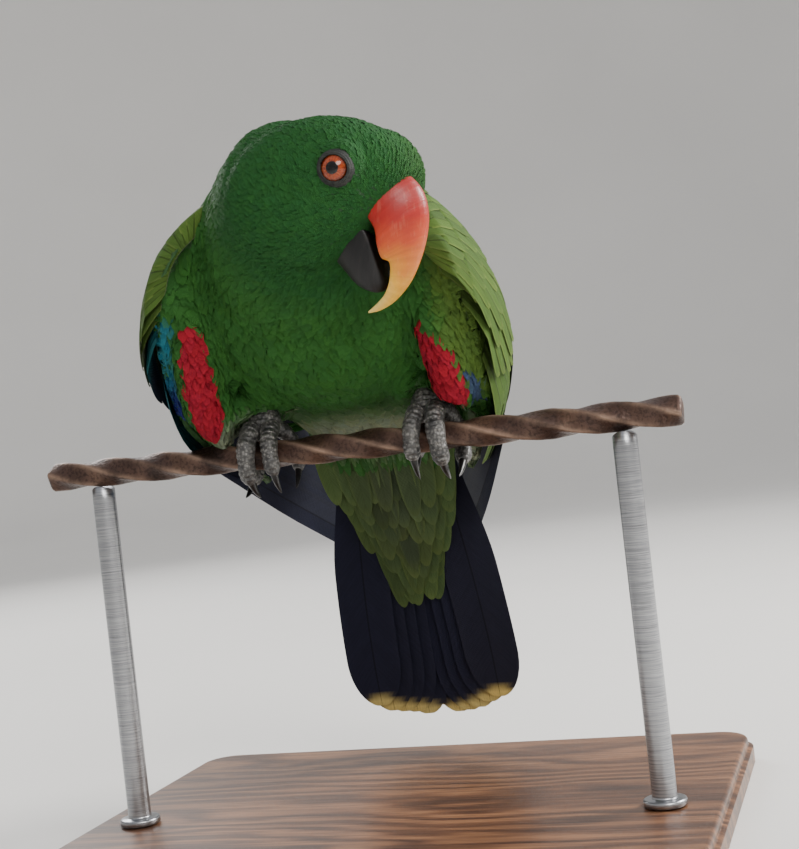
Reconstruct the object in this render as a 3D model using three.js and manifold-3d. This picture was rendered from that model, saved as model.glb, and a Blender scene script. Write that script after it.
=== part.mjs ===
// A male eclectus parrot at life size, hunched on a short cut length of twisted square iron bar,
// which two rods carry over a flat base. The head is bowed and turned to the bird's left.
// Units are millimetres, +Z is up, the bird looks along -Y and the bar lies along X.
// The origin is the centre of the underside of the base.
import * as THREE from "three";
import { mergeVertices } from "three/addons/utils/BufferGeometryUtils.js";
import Module from "manifold-3d";

const wasm = await Module();
wasm.setup();

// Driving dimensions
const GAP = 0.35; // air between neighbouring pieces
const FINEST = 0.06; // detail smaller than this is dropped from a finished piece
const BASE = { x: 224, y: 168, z: 10, corner: 14 };
const ROD = { radius: 4, x: 92, sides: 16 };
const BAR = { side: 7.8, corner: 0.9, length: 222, pitch: 78, steps: 48 };
const PERCH_HEIGHT = 134; // bar's axis over the floor: the tail hangs clear of the base
const PERCH_Y = -24; // the bar stands ahead of the middle, since the bird leans back over the base
const BODY_TURN = 5; // degrees that the bird is turned on its perch, towards its left
const FOOT = { x: 29, toeRadius: 3.4, room: 21, reach: 13.3 };
const BODY_SHIFT = -3; // the body leans a little to its right of the feet
// The head is placed by the point where the bill's ridge meets the forehead
const HEAD = { x: 44.4, y: -55, z: 76.6, bow: 34, turn: 75 };
const EYE = { ahead: -14.8, up: -5.3, side: 16.3, radius: 5.2 };
const TAIL = { x: 4.5, y: 58, z: 9, drop: 68, swing: 2, slant: 0.07, length: 130 };
const TAIL_FEATHERS = { pairs: 6, root: 17, tip: 38, half: 10 }; // half widths of the fan and of one feather
const VANE = { thick: 0.6, lap: 0.95, steepest: 0.24 }; // lap: rise from one vane to the next over it

const bodySpan = new THREE.Group(); // everything that turns with the bird's body
bodySpan.rotation.z = THREE.MathUtils.degToRad(BODY_TURN);
bodySpan.position.x = BODY_SHIFT;
const bird = new THREE.Group();
bird.position.set(0, PERCH_Y, PERCH_HEIGHT);
bird.add(bodySpan);
const stand = new THREE.Group();
const model = new THREE.Group();
model.add(bird, stand);

const rad = THREE.MathUtils.degToRad;
const at = (x, y, z) => new THREE.Vector3(x, y, z);

// Solids
// A closed surface as a solid, whichever way its faces were wound.
function solid(geometry) {
  const bare = geometry.clone();
  bare.deleteAttribute("normal");
  bare.deleteAttribute("uv");
  const merged = mergeVertices(bare, 1e-4);
  const index = new Uint32Array(merged.index.array);
  const position = merged.attributes.position;
  if (signedVolume(position, index) < 0)
    for (let i = 0; i < index.length; i += 3) [index[i], index[i + 1]] = [index[i + 1], index[i]];
  return new wasm.Manifold(
    new wasm.Mesh({ numProp: 3, vertProperties: new Float32Array(position.array), triVerts: index }),
  );
}

function signedVolume(position, index) {
  const [a, b, c] = [at(0, 0, 0), at(0, 0, 0), at(0, 0, 0)];
  let sum = 0;
  for (let i = 0; i < index.length; i += 3) {
    a.fromBufferAttribute(position, index[i]);
    b.fromBufferAttribute(position, index[i + 1]);
    c.fromBufferAttribute(position, index[i + 2]);
    sum += a.dot(b.cross(c));
  }
  return sum / 6;
}

const fuse = (solids) => wasm.Manifold.union(solids);
const cut = (whole, ...tools) => tools.reduce((left, tool) => left.subtract(tool), whole);
const largest = (whole) => whole.decompose().sort((a, b) => b.volume() - a.volume())[0];

function geometryOf(whole) {
  const mesh = whole.getMesh();
  const geometry = new THREE.BufferGeometry();
  const points = new Float32Array(mesh.numVert * 3);
  for (let i = 0; i < mesh.numVert; i++)
    points.set(mesh.vertProperties.subarray(i * mesh.numProp, i * mesh.numProp + 3), i * 3);
  geometry.setAttribute("position", new THREE.BufferAttribute(points, 3));
  geometry.setIndex(new THREE.BufferAttribute(mesh.triVerts, 1));
  geometry.computeVertexNormals();
  return geometry;
}

// A closed body through rings of the same number of points, with a fan at each end.
function loft(rings) {
  const count = rings[0].length;
  const points = rings.flat();
  const faces = [];
  for (let i = 0; i + 1 < rings.length; i++)
    for (let k = 0; k < count; k++) {
      const a = i * count + k;
      const b = i * count + ((k + 1) % count);
      faces.push(a, b, b + count, a, b + count, a + count);
    }
  for (const flip of [true, false]) {
    const centre = points.length;
    const first = flip ? 0 : (rings.length - 1) * count;
    const ring = rings.at(flip ? 0 : -1);
    points.push(ring.reduce((sum, p) => sum.add(p), at(0, 0, 0)).divideScalar(count));
    for (let k = 0; k < count; k++) {
      const [a, b] = [first + k, first + ((k + 1) % count)];
      faces.push(...(flip ? [b, a, centre] : [a, b, centre]));
    }
  }
  const geometry = new THREE.BufferGeometry().setFromPoints(points);
  geometry.setIndex(faces);
  return geometry;
}

// Rows of numbers, smoothed by a Catmull-Rom curve through each column.
function smoothRows(rows, count) {
  return Array.from({ length: count + 1 }, (_, i) => {
    const u = (i / count) * (rows.length - 1);
    const k = Math.min(Math.floor(u), rows.length - 2);
    const f = u - k;
    const [p, q] = [rows[Math.max(k - 1, 0)], rows[k]];
    const [r, s] = [rows[k + 1], rows[Math.min(k + 2, rows.length - 1)]];
    return q.map((_, j) => catmull(p[j], q[j], r[j], s[j], f));
  });
}

function catmull(p, q, r, s, f) {
  const bend = 2 * p - 5 * q + 4 * r - s;
  const twist = 3 * q - p - 3 * r + s;
  return 0.5 * (2 * q + (r - p) * f + bend * f * f + twist * f * f * f);
}

// An oval ring: sideways and up are unit vectors, wide the half width, high and low the two half heights.
// Its lower half is the squarer the smaller fullness is.
function oval(centre, sideways, up, wide, high, low, sides, fullness = 0.94) {
  return Array.from({ length: sides }, (_, k) => {
    const angle = (2 * Math.PI * (k + 0.5)) / sides;
    const [c, s] = [Math.cos(angle), Math.sin(angle)];
    const power = s > 0 ? 0.95 : fullness;
    const across = Math.sign(c) * Math.abs(c) ** power * wide;
    const rise = Math.sign(s) * Math.abs(s) ** power * (s > 0 ? high : low);
    return centre.clone().addScaledVector(sideways, across).addScaledVector(up, rise);
  });
}

// A tube of oval sections through rows of x, y, z, half width, half height above, half height below.
function limb(rows, count, sides, grow = 0, sidewaysHint = at(1, 0, 0), fullness = 0.94) {
  const smooth = smoothRows(rows, count);
  const centres = smooth.map((row) => at(row[0], row[1], row[2]));
  return loft(
    smooth.map((row, i) => {
      const along = centres[Math.min(i + 1, count)].clone().sub(centres[Math.max(i - 1, 0)]).normalize();
      const sideways = sidewaysHint.clone().addScaledVector(along, -along.dot(sidewaysHint)).normalize();
      const up = along.clone().cross(sideways).normalize();
      const end = i === 0 ? -grow : i === count ? grow : 0;
      const centre = centres[i].clone().addScaledVector(along, end);
      return oval(centre, sideways, up, row[3] + grow, row[4] + grow, row[5] + grow, sides, fullness);
    }),
  );
}

function ball(centre, radius, segments = 12) {
  const geometry = new THREE.SphereGeometry(radius, segments, Math.round(segments * 0.6));
  return solid(geometry.translate(centre.x, centre.y, centre.z));
}

function addNode(parent, name, whole, colour, roughness = 0.8, metalness = 0) {
  const material = new THREE.MeshStandardMaterial({ color: colour, roughness, metalness });
  const mesh = new THREE.Mesh(geometryOf(largest(largest(whole).simplify(FINEST))), material);
  mesh.name = name;
  parent.add(mesh);
}

// A feather vane on a surface. place(u, v) gives its point and normal for u from root to tip and v across
// from -1 to 1, and both faces are split into triangles alike.
function vane(place, steps) {
  const rows = Array.from({ length: steps + 1 }, (_, i) => [-1, 1].map((v) => place(i / steps, v)));
  const points = [0.5, -0.5].flatMap((face) =>
    rows.flat().map(({ point, normal }) => point.clone().addScaledVector(normal, face * VANE.thick)),
  );
  const under = 2 * (steps + 1);
  const faces = [0, 1, 1 + under, 0, 1 + under, under];
  for (let a = 0; a < 2 * steps; a += 2) {
    const [b, c, d] = [a + 1, a + 2, a + 3];
    faces.push(a, c, d, a, d, b);
    faces.push(a + under, d + under, c + under, a + under, b + under, d + under);
    faces.push(a, a + under, c + under, a, c + under, c);
    faces.push(b, d, d + under, b, d + under, b + under);
  }
  const last = 2 * steps;
  faces.push(last, last + under, last + 1 + under, last, last + 1 + under, last + 1);
  const geometry = new THREE.BufferGeometry().setFromPoints(points);
  geometry.setIndex(faces);
  return solid(geometry);
}

// A feather's half width from root to rounded tip, as a share of its widest.
function featherWidth(u) {
  const base = 0.6 + 0.4 * Math.min(1, u / 0.4);
  return base * Math.sqrt(Math.max(0.05, 1 - Math.max(0, (u - 0.7) / 0.31) ** 2));
}

// Steps that crowd towards a feather's round tip.
const towardsTip = (u) => 1 - (1 - u) ** 1.5;

// The trunk, from the root of the tail to the base of the neck: y, z, half width, back, belly
const TRUNK = [
  [72, -6, 9, 6, 6],
  [66, 3, 19, 11, 13],
  [56, 13, 28, 18, 21],
  [40, 28, 36, 27, 31],
  [21, 42, 42, 34, 38],
  [3, 53, 45, 38, 41],
  [-13, 60, 43, 34, 40],
  [-26, 63, 36, 26, 33],
  [-36, 63, 22, 13, 20],
];
const trunkRows = TRUNK.map(([y, z, wide, back, belly]) => [0, y, z, wide, back, belly]);
const trunk = (grow = 0) => solid(limb(trunkRows, 15, 22, grow, at(-1, 0, 0), 0.82));

// The head, in its own frame: x ahead of the bill's root, y to its left, z up
const headFrame = new THREE.Matrix4();
{
  const ahead = at(Math.sin(rad(HEAD.turn)), -Math.cos(rad(HEAD.turn)), 0);
  const left = at(-ahead.y, ahead.x, 0);
  ahead.multiplyScalar(Math.cos(rad(HEAD.bow))).add(at(0, 0, -Math.sin(rad(HEAD.bow))));
  const up = ahead.clone().cross(left);
  headFrame.makeBasis(ahead, left, up).setPosition(HEAD.x, HEAD.y, HEAD.z);
}
const inHead = (ahead, side, up) => at(ahead, side, up).applyMatrix4(headFrame);

// Each section by its top and its bottom in the middle plane (ahead, up), and its half width
const SKULL = [
  [-54, -22, -51, -31, 5],
  [-52, -13, -48, -40, 14],
  [-46, -3, -42, -45, 19.5],
  [-36, 5, -33, -46, 22],
  [-25, 9.2, -25, -43, 22],
  [-15, 10, -18, -40, 20.7],
  [-7, 8.5, -12, -35, 17.4],
  [-2, 5.8, -8, -30, 13.2],
  [1.4, -0.5, -4.5, -25, 8.6],
];

function skull(grow = 0) {
  const sections = smoothRows(SKULL, 10);
  return solid(
    loft(
      sections.map(([topAhead, topUp, lowAhead, lowUp, wide], i) => {
        const top = at(topAhead, 0, topUp);
        const low = at(lowAhead, 0, lowUp);
        const up = top.clone().sub(low).normalize();
        const half = top.distanceTo(low) / 2 + grow;
        const centre = top.add(low).multiplyScalar(0.5);
        if (i === 0 || i === sections.length - 1) centre.x += Math.sign(i - 1) * grow;
        const ring = oval(centre, at(0, 1, 0), up, wide + grow, half, half, 18, 0.97);
        return ring.map((p) => p.applyMatrix4(headFrame));
      }),
    ),
  );
}

// The neck, sunk between the shoulders, from inside the trunk to inside the head
function neckRows() {
  const nape = inHead(-36, 0, -19);
  const throat = inHead(-22, 0, -19);
  return [
    [0, 2, 56, 33, 30, 31],
    [0.5, -13, 63, 35, 31, 35],
    [1.5, -26, 69, 32, 27, 36],
    [3.5, -35, 73.5, 27, 23.5, 33],
    [nape.x + 3, nape.y, nape.z - 5, 23, 19, 26],
    [throat.x, throat.y, throat.z, 15, 15, 18],
  ];
}
const neck = (grow = 0) => solid(limb(neckRows(), 7, 16, grow, at(-0.85, -0.5, 0)));

// The bill. Each section of the upper half: the ridge and the cutting edge (ahead, up), half width at
// the edge, and how far the flank swells above it
const UPPER_BILL = [
  [-9, 0.5, -12, -13.5, 8, 8.5],
  [-3, 1, -6.5, -14, 9.2, 9.2],
  [4.2, -1.2, -0.5, -16.8, 9.4, 9],
  [9, -6, 2.4, -21, 8.8, 8.2],
  [11.8, -12.2, 4.8, -23.8, 7.6, 7],
  [13.2, -19.5, 7.3, -24.1, 6.2, 5.7],
  [13.4, -27, 8.8, -28.6, 4.5, 4.2],
  [11.6, -34, 8.7, -33.4, 3, 2.9],
  [8.8, -38.7, 7.2, -37.2, 1.7, 1.7],
  [5.9, -41.6, 5.2, -40.6, 0.6, 0.6],
];

function upperBill() {
  return solid(
    loft(
      smoothRows(UPPER_BILL, 17).map(([ridgeAhead, ridgeUp, edgeAhead, edgeUp, wide, swell]) => {
        const ridge = at(ridgeAhead, 0, ridgeUp);
        const edge = at(edgeAhead, 0, edgeUp);
        const mix = (share, side) => edge.clone().lerp(ridge, share).setY(side);
        const edgeSide = [mix(0, wide * 0.8), mix(0.1, wide), mix(0.4, swell)];
        const half = [...edgeSide, mix(0.72, swell * 0.72), mix(0.93, swell * 0.34)];
        const right = half.map((p) => p.clone().setY(-p.y)).reverse();
        return [mix(0.09, 0), ...half, ridge, ...right].map((p) => p.applyMatrix4(headFrame));
      }),
    ),
  );
}

// Each section of the lower half: its rim and its keel (ahead, up), and half width at the rim
const LOWER_BILL = [
  [-15, -17, -16, -31, 7],
  [-9, -17.4, -9, -34, 8],
  [-3, -19.2, -2, -36.6, 7.9],
  [1.6, -23.6, 3.2, -36.2, 6.8],
  [4.6, -27.4, 6.4, -33.8, 4.8],
  [6, -28.8, 7.6, -31.2, 2.6],
];

function lowerBill() {
  return solid(
    loft(
      smoothRows(LOWER_BILL, 8).map(([rimAhead, rimUp, keelAhead, keelUp, wide]) => {
        const rim = at(rimAhead, 0, rimUp);
        const keel = at(keelAhead, 0, keelUp);
        const mix = (share, side) => rim.clone().lerp(keel, share).setY(side);
        const half = [mix(0, wide * 0.75), mix(0.06, wide), mix(0.5, wide * 0.86), mix(0.85, wide * 0.45)];
        const right = half.map((p) => p.clone().setY(-p.y)).reverse();
        return [mix(0.16, 0), ...half, keel, ...right].map((p) => p.applyMatrix4(headFrame));
      }),
    ),
  );
}

const eyeCentre = (side) => inHead(EYE.ahead, side * EYE.side, EYE.up);

// The bare ring of lid round an eye
function lid(side) {
  const ring = new THREE.TorusGeometry(EYE.radius * 0.86, 0.95, 4, 12);
  const outward = at(0.18, side, 0.06).normalize();
  const turn = new THREE.Quaternion().setFromUnitVectors(at(0, 0, 1), outward);
  ring.scale(1.08, 0.94, 1).applyQuaternion(turn);
  const centre = at(EYE.ahead, side * EYE.side, EYE.up).addScaledVector(outward, EYE.radius * 0.62);
  return solid(ring.translate(centre.x, centre.y, centre.z).applyMatrix4(headFrame));
}

// A wing, for side 1 (left) or -1: its upper edge, its widest line and its lower edge at each section
// from the shoulder to the tips of the primaries, and its thickness
const WING = [
  [34, -33, 74, 41, -41, 66, 45, -40, 56, 6],
  [25, -12, 87, 47, -22, 66, 54, -28, 37, 10],
  [16, 14, 90, 52.5, 2, 54, 53, -11, 13, 11],
  [10, 39, 76, 50.5, 28, 30, 45.5, 17, -7, 10],
  [7.5, 64, 53, 41, 56, 5, 37, 50, -20, 6.5],
  [5, 93, 18, 30, 90, -20, 29, 88, -35, 3.5],
  [3.5, 119, -20, 17, 120, -42, 18, 115, -53, 3],
  [2.6, 142, -56, 7, 146, -62, 8, 146, -68, 2.2],
];
const WING_SPREAD = { left: [0.99, 1, 0.86], right: [0.95, 1.06, 1.02] };

function wingSpread(side, s) {
  const [near, middle, far] = side > 0 ? WING_SPREAD.left : WING_SPREAD.right;
  const nearShare = THREE.MathUtils.clamp(s / 0.35, 0, 1);
  const farShare = THREE.MathUtils.clamp((s - 0.35) / 0.3, 0, 1);
  return near + (middle - near) * nearShare + (far - middle) * farShare;
}

// A point on the wing's surface, s along it and t from its upper to its lower edge
function wingPoint(side, s, t) {
  const u = Math.min(Math.max(s, 0), 1) * (WING.length - 1);
  const k = Math.min(Math.floor(u), WING.length - 2);
  const pick = (i) => WING[Math.min(Math.max(i, 0), WING.length - 1)];
  const [p, q, r, e] = [pick(k - 1), pick(k), pick(k + 1), pick(k + 2)];
  const row = q.map((_, j) => catmull(p[j], q[j], r[j], e[j], u - k));
  const upper = at(row[0], row[1], row[2]);
  const widest = at(row[3], row[4], row[5]);
  const lower = at(row[6], row[7], row[8]);
  const control = widest.multiplyScalar(2).addScaledVector(upper, -0.5).addScaledVector(lower, -0.5);
  const point = upper.multiplyScalar((1 - t) ** 2);
  point.addScaledVector(control, 2 * t * (1 - t)).addScaledVector(lower, t * t);
  point.x *= side * wingSpread(side, s);
  return { point, thick: row[9] };
}

function wingFrame(side, s, t) {
  const step = 0.01;
  const here = wingPoint(side, s, t);
  const along = wingPoint(side, Math.min(s + step, 1), t).point.sub(wingPoint(side, s - step, t).point);
  const acrossStart = wingPoint(side, s, t - step).point;
  const across = wingPoint(side, s, t + step).point.sub(acrossStart).divideScalar(2 * step);
  const normal = across.clone().cross(along).multiplyScalar(side).normalize();
  return { point: here.point, normal, across, thick: here.thick };
}

// The arm and hand under the coverts, thickest by the shoulder, ending under the flight feathers
const CORE = { end: 0.55, rings: 7, points: 4, inset: 2.6, least: 5.2 };

function wingCore(side) {
  const rings = Array.from({ length: CORE.rings + 1 }, (_, i) => {
    const s = (i / CORE.rings) * CORE.end;
    const fade = 1 - 0.7 * Math.max(0, (s - 0.4) / (CORE.end - 0.4));
    const outer = [];
    const inner = [];
    for (let j = 0; j <= CORE.points; j++) {
      const { point, normal, thick } = wingFrame(side, s, 0.02 + (0.96 * j) / CORE.points);
      const taper = 0.25 + 0.75 * Math.sin(Math.PI * (0.08 + (0.84 * j) / CORE.points));
      const inset = CORE.inset * THREE.MathUtils.clamp((s - 0.08) * 8, 0, 1);
      outer.push(point.clone().addScaledVector(normal, 1.2 * (taper - 1) - inset));
      inner.unshift(point.clone().addScaledVector(normal, -Math.max(CORE.least, thick * fade * taper)));
    }
    return [...outer, ...inner];
  });
  return solid(loft(rings));
}

// The primaries: parallel sheets that run out from under the secondaries to the tip of the wing. t0 and
// t1 are where the first and last root and tip lie across the wing, s0 and s1 where they lie along it
const PRIMARIES = {
  count: 6,
  t0: [0.62, 0.9],
  t1: [0.3, 0.72],
  s0: 0.4,
  s1: [0.78, 0.985],
  half: 6.2,
  lift: -1.6,
  bulge: 2,
};
const between = ([first, last], share) => first + (last - first) * share;

function primary(side, i) {
  const share = i / (PRIMARIES.count - 1);
  const middle = wingFrame(side, 0.75, 0.55);
  const tip = wingFrame(side, 1, 0.5);
  const root = wingFrame(side, PRIMARIES.s0, 0.78);
  const axis = tip.point.clone().sub(root.point).normalize();
  const across = middle.normal.clone().cross(axis).normalize().multiplyScalar(side);
  const outward = axis.clone().cross(across).normalize().multiplyScalar(side);
  const from = wingPoint(side, PRIMARIES.s0, between(PRIMARIES.t0, share)).point;
  const to = wingPoint(side, between(PRIMARIES.s1, share), between(PRIMARIES.t1, share)).point;
  return vane((u, v) => {
    const k = towardsTip(u);
    const point = from.clone().lerp(to, k).addScaledVector(across, v * PRIMARIES.half * featherWidth(k));
    const height = PRIMARIES.lift - VANE.lap * i + PRIMARIES.bulge * 4 * k * (1 - k);
    const onPlane = point.addScaledVector(outward, -point.clone().sub(root.point).dot(outward));
    return { point: onPlane.addScaledVector(outward, height), normal: outward };
  }, 5);
}

// The tiers over them: secondaries, primary coverts, greater coverts and median coverts. Each feather
// keeps its own line along the wing, and each tier's lines lie between those of the tier under it. Roots
// lie at s0 and tips at s1 along the wing, and lift is the tips' height over the wing's surface
const ROOT_DEPTH = 3.9;
const TIERS = [
  { count: 6, t0: [0.07, 0.6], t1: [0.1, 0.66], s0: [0.4, 0.36], s1: [0.62, 0.73], half: 8.4, lift: -1.2 },
  { count: 3, t0: [0.77, 0.94], t1: [0.79, 0.94], s0: [0.26, 0.24], s1: [0.52, 0.46], half: 6.4, lift: 0.2 },
  { count: 6, t0: [0.12, 0.65], t1: [0.15, 0.71], s0: [0.27, 0.25], s1: [0.47, 0.45], half: 7.8, lift: 0.2 },
  { count: 7, t0: [0.07, 0.81], t1: [0.09, 0.86], s0: [0.15, 0.14], s1: [0.34, 0.31], half: 8.2, lift: 1.6 },
];

function wingVane(side, tier, i) {
  const share = i / (tier.count - 1);
  const spacing = (t) => Math.abs(t[1] - t[0]) / (tier.count - 1);
  return vane((u, v) => {
    const k = towardsTip(u);
    const s = between(tier.s0, share) * (1 - k) + between(tier.s1, share) * k;
    const t = between(tier.t0, share) * (1 - k) + between(tier.t1, share) * k;
    const width = wingFrame(side, s, t).across.length();
    const next = (spacing(tier.t0) * (1 - k) + spacing(tier.t1) * k) * width;
    const reach = v * tier.half * featherWidth(k);
    const { point, normal } = wingFrame(side, s, THREE.MathUtils.clamp(t + reach / width, 0.01, 0.99));
    const rise = Math.min(1, k * 2.2);
    const tilt = Math.min(VANE.lap / next, VANE.steepest) * reach;
    const height = ROOT_DEPTH * (rise - 1) + (tier.lift + tilt) * rise;
    return { point: point.addScaledVector(normal, height), normal };
  }, tier === TIERS[0] ? 4 : 3);
}

function wing(side) {
  const primaries = Array.from({ length: PRIMARIES.count }, (_, i) => primary(side, i));
  const tiers = TIERS.map((tier) => Array.from({ length: tier.count }, (_, i) => wingVane(side, tier, i)));
  return fuse([wingCore(side), ...primaries, ...tiers.flat()]);
}

// The red feathers of the flank, which show between the breast and the wing's front edge
const flankRows = (side) => [
  [side * 37, -27, 49, 3.5, 4, 4],
  [side * 40, -23, 40, 7, 7, 7],
  [side * 41.5, -15, 27, 8.5, 9, 9],
  [side * 41, -7, 16, 8, 9, 9],
  [side * 39.5, 0, 8, 6, 6, 6],
  [side * 38, 4, 4, 3, 3, 3],
];
const flank = (side, grow = 0) => solid(limb(flankRows(side), 7, 10, grow, at(1, 0, 0)));

// The tail: its plane hangs from the rump, tips down and back
const tailFrame = new THREE.Matrix4()
  .makeTranslation(TAIL.x, TAIL.y, TAIL.z)
  .multiply(new THREE.Matrix4().makeRotationX(rad(90 - TAIL.drop)))
  .multiply(new THREE.Matrix4().makeRotationY(rad(TAIL.swing)));
function tailPoint(down, side, back) {
  return at(side, back, -down * (1 + TAIL.slant * 0.01 * side)).applyMatrix4(tailFrame);
}
const tailBack = at(0, 1, 0).transformDirection(tailFrame);
const tailSide = at(1, 0, 0).transformDirection(tailFrame);

function tailRoot(grow = 0) {
  const rows = [
    [-4, 15, 9, 8],
    [8, 20, 9, 8.5],
    [22, 21.5, 7.5, 7],
    [38, 19, 5, 5],
    [50, 14, 3, 3],
  ];
  const rings = smoothRows(rows, 6).map(([down, wide, back, belly]) =>
    oval(tailPoint(down, 0, 0), tailSide, tailBack, wide + grow, back + grow, belly + grow, 12),
  );
  return solid(loft(rings));
}

// A vane in the tail's plane, from [down, side] at its root to [down, side] at its tip. height(k) is how
// far behind the plane it lies, and tilt lifts its outer edge
function tailVane(from, to, half, height, tilt, steps) {
  return vane((u, v) => {
    const k = towardsTip(u);
    const down = from[0] + (to[0] - from[0]) * k;
    const side = from[1] + (to[1] - from[1]) * Math.sin((k * Math.PI) / 2);
    const reach = half * featherWidth(k) * v;
    const lift = height(k) + tilt * reach * Math.min(1, k * 2);
    return { point: tailPoint(down, side + reach, lift), normal: tailBack };
  }, steps);
}

// The tail feathers: the middle pair lies over the rest, and each next pair under it
function tailFeathers(grow = 0) {
  const { half } = TAIL_FEATHERS;
  return Array.from({ length: TAIL_FEATHERS.pairs }, (_, k) =>
    [-1, 1].map((side) => {
      const share = (k + 0.5) / TAIL_FEATHERS.pairs;
      const layer = VANE.lap * (2.2 - k - (side > 0 ? 0 : 0.5));
      const length = TAIL.length - 0.28 * k * k - (k === 0 ? 3 : 0) + (side < 0 ? grow : 0);
      const tip = side * (TAIL_FEATHERS.tip - half) * ((k + 0.4) / (TAIL_FEATHERS.pairs - 0.6));
      const spread = (u) => layer * Math.min(1, 0.4 + u);
      return tailVane([14, side * TAIL_FEATHERS.root * share], [length, tip], half, spread, -side * 0.035, 4);
    }),
  ).flat();
}

// The room that the whole fan takes
function fanRoom(grow) {
  const rows = [
    [0, 17, 3.4],
    [30, 27, 3.6],
    [70, 34, 3.8],
    [110, 37, 4],
    [TAIL.length + 2, 36, 4],
  ];
  const rings = smoothRows(rows, 6).map(([down, wide, thick]) =>
    oval(tailPoint(down, 0, -0.6), tailSide, tailBack, wide + grow, thick + grow, thick + grow, 12, 0.6),
  );
  return solid(loft(rings));
}

// The upper tail coverts, in two tiers over the roots of the tail feathers
function upperTailCoverts() {
  const tiers = [
    { count: 5, start: 16, end: 60, height: 4.4, half: 7.4 },
    { count: 4, start: 0, end: 40, height: 5.8, half: 8.2 },
  ];
  return tiers.flatMap(({ count, start, end, height, half }) =>
    Array.from({ length: count }, (_, i) => {
      const f = (2 * i) / (count - 1) - 1;
      const bend = (k) => height - 2 * f * f - 3.5 * (1 - Math.min(1, k * 1.8));
      return tailVane([start, f * 11], [end - 6 * f * f, f * 16], half, bend, -0.12 * Math.sign(f), 3);
    }),
  );
}

// The undertail coverts: a wedge under the tail's root, with three tiers of vanes to a blunt point
function undertail(grow = 0) {
  const rows = [
    [-16, 21, -16, 7],
    [-4, 26, -15.5, 7.6],
    [10, 26, -13.6, 6],
    [26, 21, -11, 3.6],
    [42, 14, -8.6, 1.6],
  ];
  const rings = smoothRows(rows, 6).map(([down, wide, height, thick]) =>
    oval(tailPoint(down, 0, height), tailSide, tailBack, wide + grow, thick + grow, thick + grow, 12),
  );
  return solid(loft(rings));
}

function undertailVanes() {
  const tiers = [
    { count: 3, start: 30, end: 80, wide: 9, tip: 4, height: [10, 5.6], half: 6.6 },
    { count: 4, start: 14, end: 60, wide: 15, tip: 11, height: [15, 8.6], half: 7.4 },
    { count: 4, start: 0, end: 40, wide: 19, tip: 18, height: [19, 13], half: 9 },
  ];
  return tiers.flatMap(({ count, start, end, wide, tip, height, half }) =>
    Array.from({ length: count }, (_, i) => {
      const f = (2 * i) / (count - 1) - 1;
      const root = (k) => 2.2 * (1 - Math.min(1, k * 2));
      const hang = (k) => root(k) - between(height, k) + 2.5 * f * f;
      return tailVane([start, f * wide], [end - 7 * f * f, f * tip], half, hang, 0.13 * Math.sign(f), 3);
    }),
  );
}

// Legs and feet. Toes are tubes bent round the bar by an angle that is 90 at its top and 180 in front
const barRadius = BAR.side / Math.SQRT2 - BAR.corner * 0.35;
const aroundBar = (x, angle, radius) => at(x, radius * Math.cos(rad(angle)), radius * Math.sin(rad(angle)));

// Toes by name: x offset at root and tip outwards, start and end angle, radius factor
const TOES = [
  { name: "2", root: -2.9, tip: -4.6, start: 96, end: 222, size: 0.92, claw: 8.8 },
  { name: "3", root: 2.9, tip: 4.6, start: 96, end: 238, size: 1, claw: 9.6 },
  { name: "1", root: -3.3, tip: -7.6, start: 78, end: -42, size: 0.82, claw: 8 },
  { name: "4", root: 3.3, tip: 8.4, start: 78, end: -66, size: 0.95, claw: 9.2 },
];

function toePath(side, toe) {
  const radius = FOOT.toeRadius * toe.size;
  return (f) => {
    const angle = toe.start + (toe.end - toe.start) * f;
    const x = side * (FOOT.x + toe.root + (toe.tip - toe.root) * Math.sin((f * Math.PI) / 2));
    const knuckle = 0.55 * Math.abs(Math.sin(3 * Math.PI * f));
    const reach = barRadius + GAP + radius + 0.25 + 1.6 * Math.max(0, f - 0.55) + knuckle * 0.3;
    return { point: aroundBar(x, angle, reach), radius: radius * (1 - 0.24 * f) + knuckle * 0.45 };
  };
}

function toeSolid(side, toe, grow = 0) {
  const path = toePath(side, toe);
  const count = 7;
  const rings = Array.from({ length: count + 1 }, (_, i) => {
    const { point, radius } = path(i / count);
    const next = path(Math.min(i / count + 0.02, 1.02)).point;
    const before = path(i / count - 0.02).point;
    const along = next.sub(before).normalize();
    const outward = at(0, point.y, point.z).normalize();
    const sideways = along.clone().cross(outward).normalize();
    const size = (i === 0 ? 0.72 : i === count ? 0.62 : 1) * radius + grow;
    return oval(point, sideways, sideways.clone().cross(along), size, size, size * 0.94, 8, 1);
  });
  return solid(loft(rings));
}

// The room that the whole foot takes round the bar
function footRoom(side) {
  const room = new THREE.CylinderGeometry(FOOT.reach, FOOT.reach, FOOT.room, 14);
  return solid(room.rotateZ(Math.PI / 2).translate(side * (FOOT.x + 0.5), 0, 0));
}

// A claw leaves its toe and hooks down and inwards
function clawSolid(side, toe) {
  const path = toePath(side, toe);
  const end = path(0.93);
  const along = path(1).point.sub(path(0.94).point).normalize();
  const outward = at(0, end.point.y, end.point.z).normalize();
  const heading = along.clone().multiplyScalar(0.9).addScaledVector(outward, 0.38).normalize();
  const hook = along.clone().multiplyScalar(0.25).addScaledVector(outward, -0.55);
  const sideways = along.clone().cross(outward).normalize();
  const count = 4;
  const rings = Array.from({ length: count + 1 }, (_, i) => {
    const f = i / count;
    const point = end.point.clone().addScaledVector(heading, toe.claw * f);
    point.addScaledVector(hook, toe.claw * 0.55 * f * f);
    const size = Math.max(0.2, end.radius * 0.7 * (1 - f) ** 0.6);
    const up = outward.clone().addScaledVector(along, f * 0.7).normalize();
    return oval(point, sideways, up, size * 0.82, size, size, 6, 1);
  });
  return solid(loft(rings));
}

const ankle = (side) => at(side * (FOOT.x + 1), 9, 24);

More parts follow.
